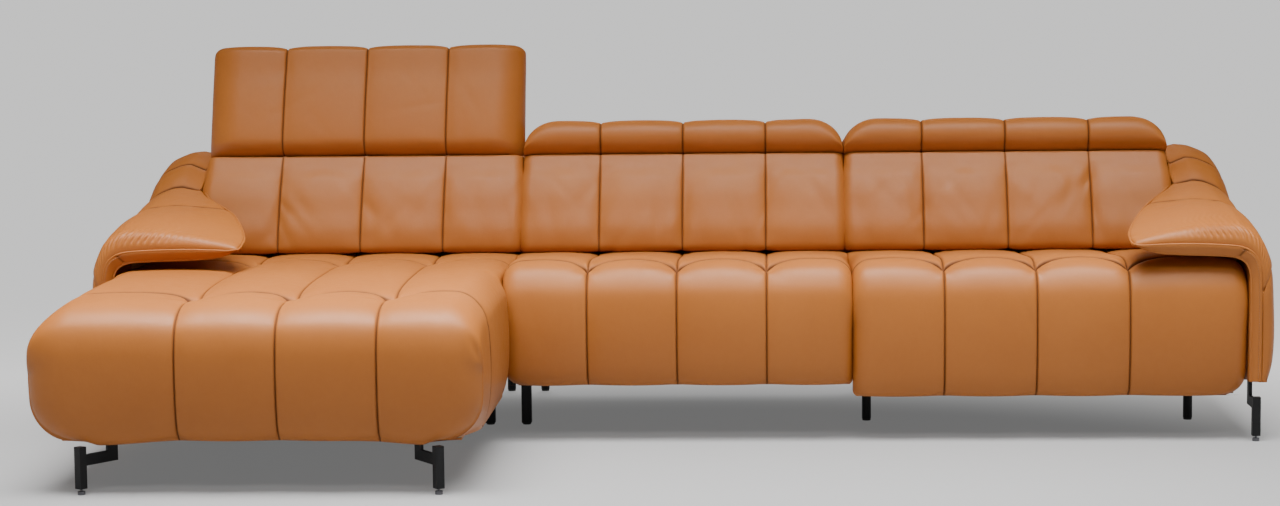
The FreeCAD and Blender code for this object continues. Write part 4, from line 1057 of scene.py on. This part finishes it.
def buildStitches(name, sign):
    # one short stitch after another beside the seam: rings at 0, 0.22, 0.78 and 1 of its length
    w = thread["across"]
    pipe = spacedPath(pipingPath, 700)
    lower = spacedPath(bandPath, 700)
    t = np.linspace(0, 1, 400)
    curve = onPath(pipe, t * pipe[1][-1]) * (1 - w) + onPath(lower, t * lower[1][-1]) * w
    step = np.r_[0, np.cumsum(np.linalg.norm(np.diff(curve, axis=0), axis=1))]
    starts = np.arange(.010, step[-1] * thread["upTo"], thread["pitch"])
    along = starts[:, None] + thread["length"] * np.array([0, .22, .78, 1.0])[None, :]
    cx, cz = np.interp(along, step, curve[:, 0]), np.interp(along, step, curve[:, 1])
    tx, tz = np.gradient(cx, axis=1), np.gradient(cz, axis=1)
    size = np.hypot(tx, tz)
    nx, nz = -tz / size, tx / size
    reach = thread["radius"] * np.array([.35, 1.0, 1.0, .35])[None, :, None]
    turn = np.linspace(0, 2 * math.pi, thread["sides"], endpoint=False)[None, None, :]
    depth = panelFace(w) - thread["proud"]
    sink = np.array([.0012, 0, 0, .0012])[None, :, None]
    x = cx[..., None] + reach * nx[..., None] * np.cos(turn)
    z = cz[..., None] + reach * nz[..., None] * np.cos(turn)
    y = depth + sink + reach * np.sin(turn) + lineY + 0 * x
    verts = np.stack([x * sign, y, z], -1).reshape(-1, 3)
    sides = thread["sides"]
    j = np.arange(sides)
    k = (j + 1) % sides
    ring = np.concatenate([np.stack([r * sides + j, r * sides + k, (r + 1) * sides + k, (r + 1) * sides + j], -1)
                           for r in range(3)]).tolist()
    ring += [list(j[::-1]), list(3 * sides + j)]
    faces = [[int(v) + i * 4 * sides for v in face] for i in range(len(starts)) for face in ring]
    piece = meshPiece(name + "Stitches", verts, faces, threadFinish)
    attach(piece, "sofa")


for name, sign in (("left", -1), ("right", 1)):
    buildPiping(name, sign)
    buildStitches(name, sign)


# Deck pads and rear panels
deckShape = {
    "wide": .876, "deep": .2647, "front": .160, "top": .6820, "under": .6652, "stretch": 1.0038,
    "round": .010, "roundOver": .012, "sag": .0006, "folds": 20, "foldHeight": .0006,
}


def buildDeck(name, backX):
    # a board pad with rounded edges: z = top - edge - sag sin(pi u / wide) sin(pi v / deep)
    c = deckShape
    start, wide, deep = [0, .0015, .004, .008, .014], c["wide"], c["deep"]
    u = np.concatenate([start, np.linspace(.02, .856, 60), [.862, .868, .872, .8745, wide]])
    v = np.concatenate([start, np.linspace(.02, .2447, 20), [.2507, .2567, .2607, .2632, deep]])
    x = backX + (u[:, None] - wide / 2 + 0 * v[None, :]) * c["stretch"]
    y = c["front"] + v[None, :] + 0 * u[:, None]
    e = np.minimum(np.minimum(u, wide - u)[:, None], np.minimum(v, deep - v)[None, :])
    edge = c["round"] * endInset(np.clip(1 - e / c["roundOver"], 0, 1))
    z = c["top"] - edge - c["sag"] * np.sin(math.pi * u / wide)[:, None] * np.sin(math.pi * v / deep)[None, :]
    z = z + softFolds(x, y, 70, c["folds"], (backX - .43, backX + .43), (.17, .41), c["foldHeight"])
    outer = np.stack([x, y, z], -1)
    inner = np.stack([x, y, np.full_like(z, c["under"])], -1)
    piece = slab(name + "Deck", outer, inner, np.zeros_like(z), hide)
    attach(piece, "sofa")
    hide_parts(name + "_deck_pad")


rears = {
    "chaise": {"x": (-1.490, -.4403), "bottom": .124, "arm": -1},
    "middle": {"x": (-.4397, .4397), "bottom": .146, "arm": 0},
    "right": {"x": (.4403, 1.490), "bottom": .115, "arm": 1},
}
rearShape = {
    "step": 1.3235, "foot": 1.418, "top": .6835, "armTop": .4512, "armFoot": .150, "seamZ": .640,
    "face": .4418, "limit": .4420, "inner": .4252, "round": .012, "roundOver": .014, "folds": 26, "foldHeight": .0012,
}


def buildRear(name, spec):
    # the rear's cover: flat, with rounded edges and a seam below the deck
    c = rearShape
    a, b = spec["x"]
    step, foot = c["step"], c["foot"]
    u = np.concatenate([[a, a + .002, a + .005, a + .010], np.linspace(a + .016, b - .016, 90),
                        [b - .010, b - .005, b - .002, b]])
    if spec["arm"]:
        near = [spec["arm"] * v + w for v in (step, foot) for w in (-.006, -.0005, .0005, .006)]
        u = np.array(sorted(set(np.round(np.concatenate([u, near]), 5))))
    w = np.concatenate([[0, .002, .005, .010, .018], np.linspace(.03, .97, 50), [.982, .99, .995, .998, 1.0]])
    behindArm = (np.abs(u) > step) if spec["arm"] else np.zeros(len(u), bool)
    top = np.where(behindArm, c["armTop"], c["top"])[:, None]
    low = np.where(np.abs(u) > foot, c["armFoot"], spec["bottom"])[:, None]
    z = low + (top - low) * w[None, :]
    x = np.repeat(u[:, None], len(w), 1)
    e = np.minimum(np.minimum(x - a, b - x), np.minimum(z - low, top - z))
    edge = c["round"] * endInset(np.clip(1 - e / c["roundOver"], 0, 1))
    dz = np.abs(z - c["seamZ"])
    y = c["face"] - edge + softFolds(x, z, 80, c["folds"], (a, b), (.16, .66), c["foldHeight"])
    y = y - .003 * np.exp(-dz / .012) - sewing["groove"] * seamMark(dz)
    y = np.minimum(y, c["limit"])
    outer = np.stack([x, y, z], -1)
    inner = np.stack([x, np.full_like(y, c["inner"]), z], -1)
    # painted shade along the seam below the deck
    piece = slab(name + "Rear", outer, inner, seamMark(dz), hide, levels=0)
    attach(piece, "sofa")
    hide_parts(name + "_rear_panel")


for name, backX in backs.items():
    buildDeck(name, backX)
    buildRear(name, rears[name])
print("deck pads and rears made")


# Floor, light and camera
studio = {
    "ground": (.27, .27, .27, 1), "fleck": (.26, .26, .26, 1), "dim": (.15, .15, .15, 1),
    "glow": (.86, .857, .853, 1), "glowFrom": 1.45, "glowOver": 1.9, "poolScale": (1, 1.4, 1), "poolShift": (0, .90, 0),
    "air": (.050, .0495, .049, 1), "horizon": (.50, .498, .495, 1), "band": .12, "reach": 600.0,
    "lights": {
        # place, target, size, power, spread in degrees, seen in gloss
        "overheadLight": ((0, -.88, 3.2), (0, -.88, 0), (4.8, 1.6), 120.0, 74, True),
        "frontLight": ((.3, -3.8, 4.2), (0, -.2, .6), (4.8, 1.2), 14.0, 56, True),
        "rearLight": ((0, 3.8, 2.6), (0, .6, .4), (4.6, 1.4), 34.0, 70, False),
    },
}


def areaLight(name, place, target, size, power, spread, gloss):
    # a rectangular lamp that shines from its place to its target and isn't seen itself
    data = bpy.data.lights.new(name, "AREA")
    data.shape = "RECTANGLE"
    data.size, data.size_y = size
    data.energy = power
    data.spread = math.radians(spread)
    lamp = bpy.data.objects.new(name, data)
    bpy.context.scene.collection.objects.link(lamp)
    lamp.visible_camera = False
    lamp.visible_glossy = gloss
    lamp.location = place
    lamp.rotation_euler = (Vector(target) - Vector(place)).to_track_quat("-Z", "Y").to_euler()


def buildStudio():
    # painted light: the floor glows dimly near the sofa, which lightens the shadows under it, and glows a little more
    # from glowFrom outwards, so that it stays pale where no lamp reaches
    f = Finish("paleFloor", Roughness=0.9, Emission_Strength=1.0)
    f.set("Base Color", f.mix(f.noise(0.6, 2.0), studio["ground"], studio["fleck"]))
    ahead = f.node("ShaderNodeVectorMath", {"operation": "MULTIPLY_ADD"},
                   {0: f.place, 1: studio["poolScale"], 2: studio["poolShift"]}).outputs[0]
    apart = f.num(f.node("ShaderNodeVectorMath", {"operation": "LENGTH"}, {0: ahead}).outputs["Value"])
    far = ((apart - studio["glowFrom"]) / studio["glowOver"]).clip()
    # painted light: the dim glow lifts the floor's shadows, the bright glow stands in for lamplight far out
    f.set("Emission Color", f.mix(far * far * (3.0 - 2.0 * far), studio["dim"], studio["glow"]))
    r = studio["reach"]
    verts = np.array([[-r, -r, 0.0], [r, -r, 0.0], [r, r, 0.0], [-r, r, 0.0]])
    meshPiece("floor", verts, np.array([[0, 1, 2, 3]]), f.material)
    # the air is pale along the horizon and dim above it
    world = bpy.data.worlds.new("air")
    bpy.context.scene.world = world
    world.use_nodes = True
    tree = world.node_tree
    split = tree.nodes.new("ShaderNodeSeparateXYZ")
    tree.links.new(tree.nodes.new("ShaderNodeTexCoord").outputs["Generated"], split.inputs[0])
    rise = (1.0 - Num(tree, split.outputs["Z"]).math("ABSOLUTE") / studio["band"]).clip()
    blend = tree.nodes.new("ShaderNodeMix")
    blend.data_type = "RGBA"
    tree.links.new(rise.socket, blend.inputs["Factor"])
    blend.inputs[6].default_value = studio["air"]
    blend.inputs[7].default_value = studio["horizon"]
    tree.links.new(blend.outputs[2], tree.nodes["Background"].inputs["Color"])
    for name, values in studio["lights"].items():
        areaLight(name, *values)


buildStudio()

view = {
    "place": (.2403, -6.8332, 1.1573), "yaw": -.0492, "pitch": .0996, "roll": -.0107,
    "focal": 2672.06, "wide": 1280.0, "sensor": 36.0,  # the picture's focal length and width in pixels
}


def buildCamera():
    # looks along (sin yaw cos pitch, cos yaw cos pitch, -sin pitch), then turned by roll
    data = bpy.data.cameras.new("camera")
    data.sensor_width = view["sensor"]
    data.sensor_fit = "HORIZONTAL"
    data.lens = view["focal"] * view["sensor"] / view["wide"]
    camera = bpy.data.objects.new("camera", data)
    bpy.context.scene.collection.objects.link(camera)
    yaw, pitch, roll = view["yaw"], view["pitch"], view["roll"]
    ahead = Vector((math.sin(yaw) * math.cos(pitch), math.cos(yaw) * math.cos(pitch), -math.sin(pitch)))
    right = Vector((math.cos(yaw), -math.sin(yaw), 0))
    up = right.cross(ahead)
    right2 = right * math.cos(roll) + up * math.sin(roll)
    up2 = up * math.cos(roll) - right * math.sin(roll)
    turn = Matrix((right2, up2, -ahead)).transposed()
    camera.matrix_world = Matrix.Translation(view["place"]) @ turn.to_4x4()
    bpy.context.scene.camera = camera


buildCamera()
print("studio and camera made")
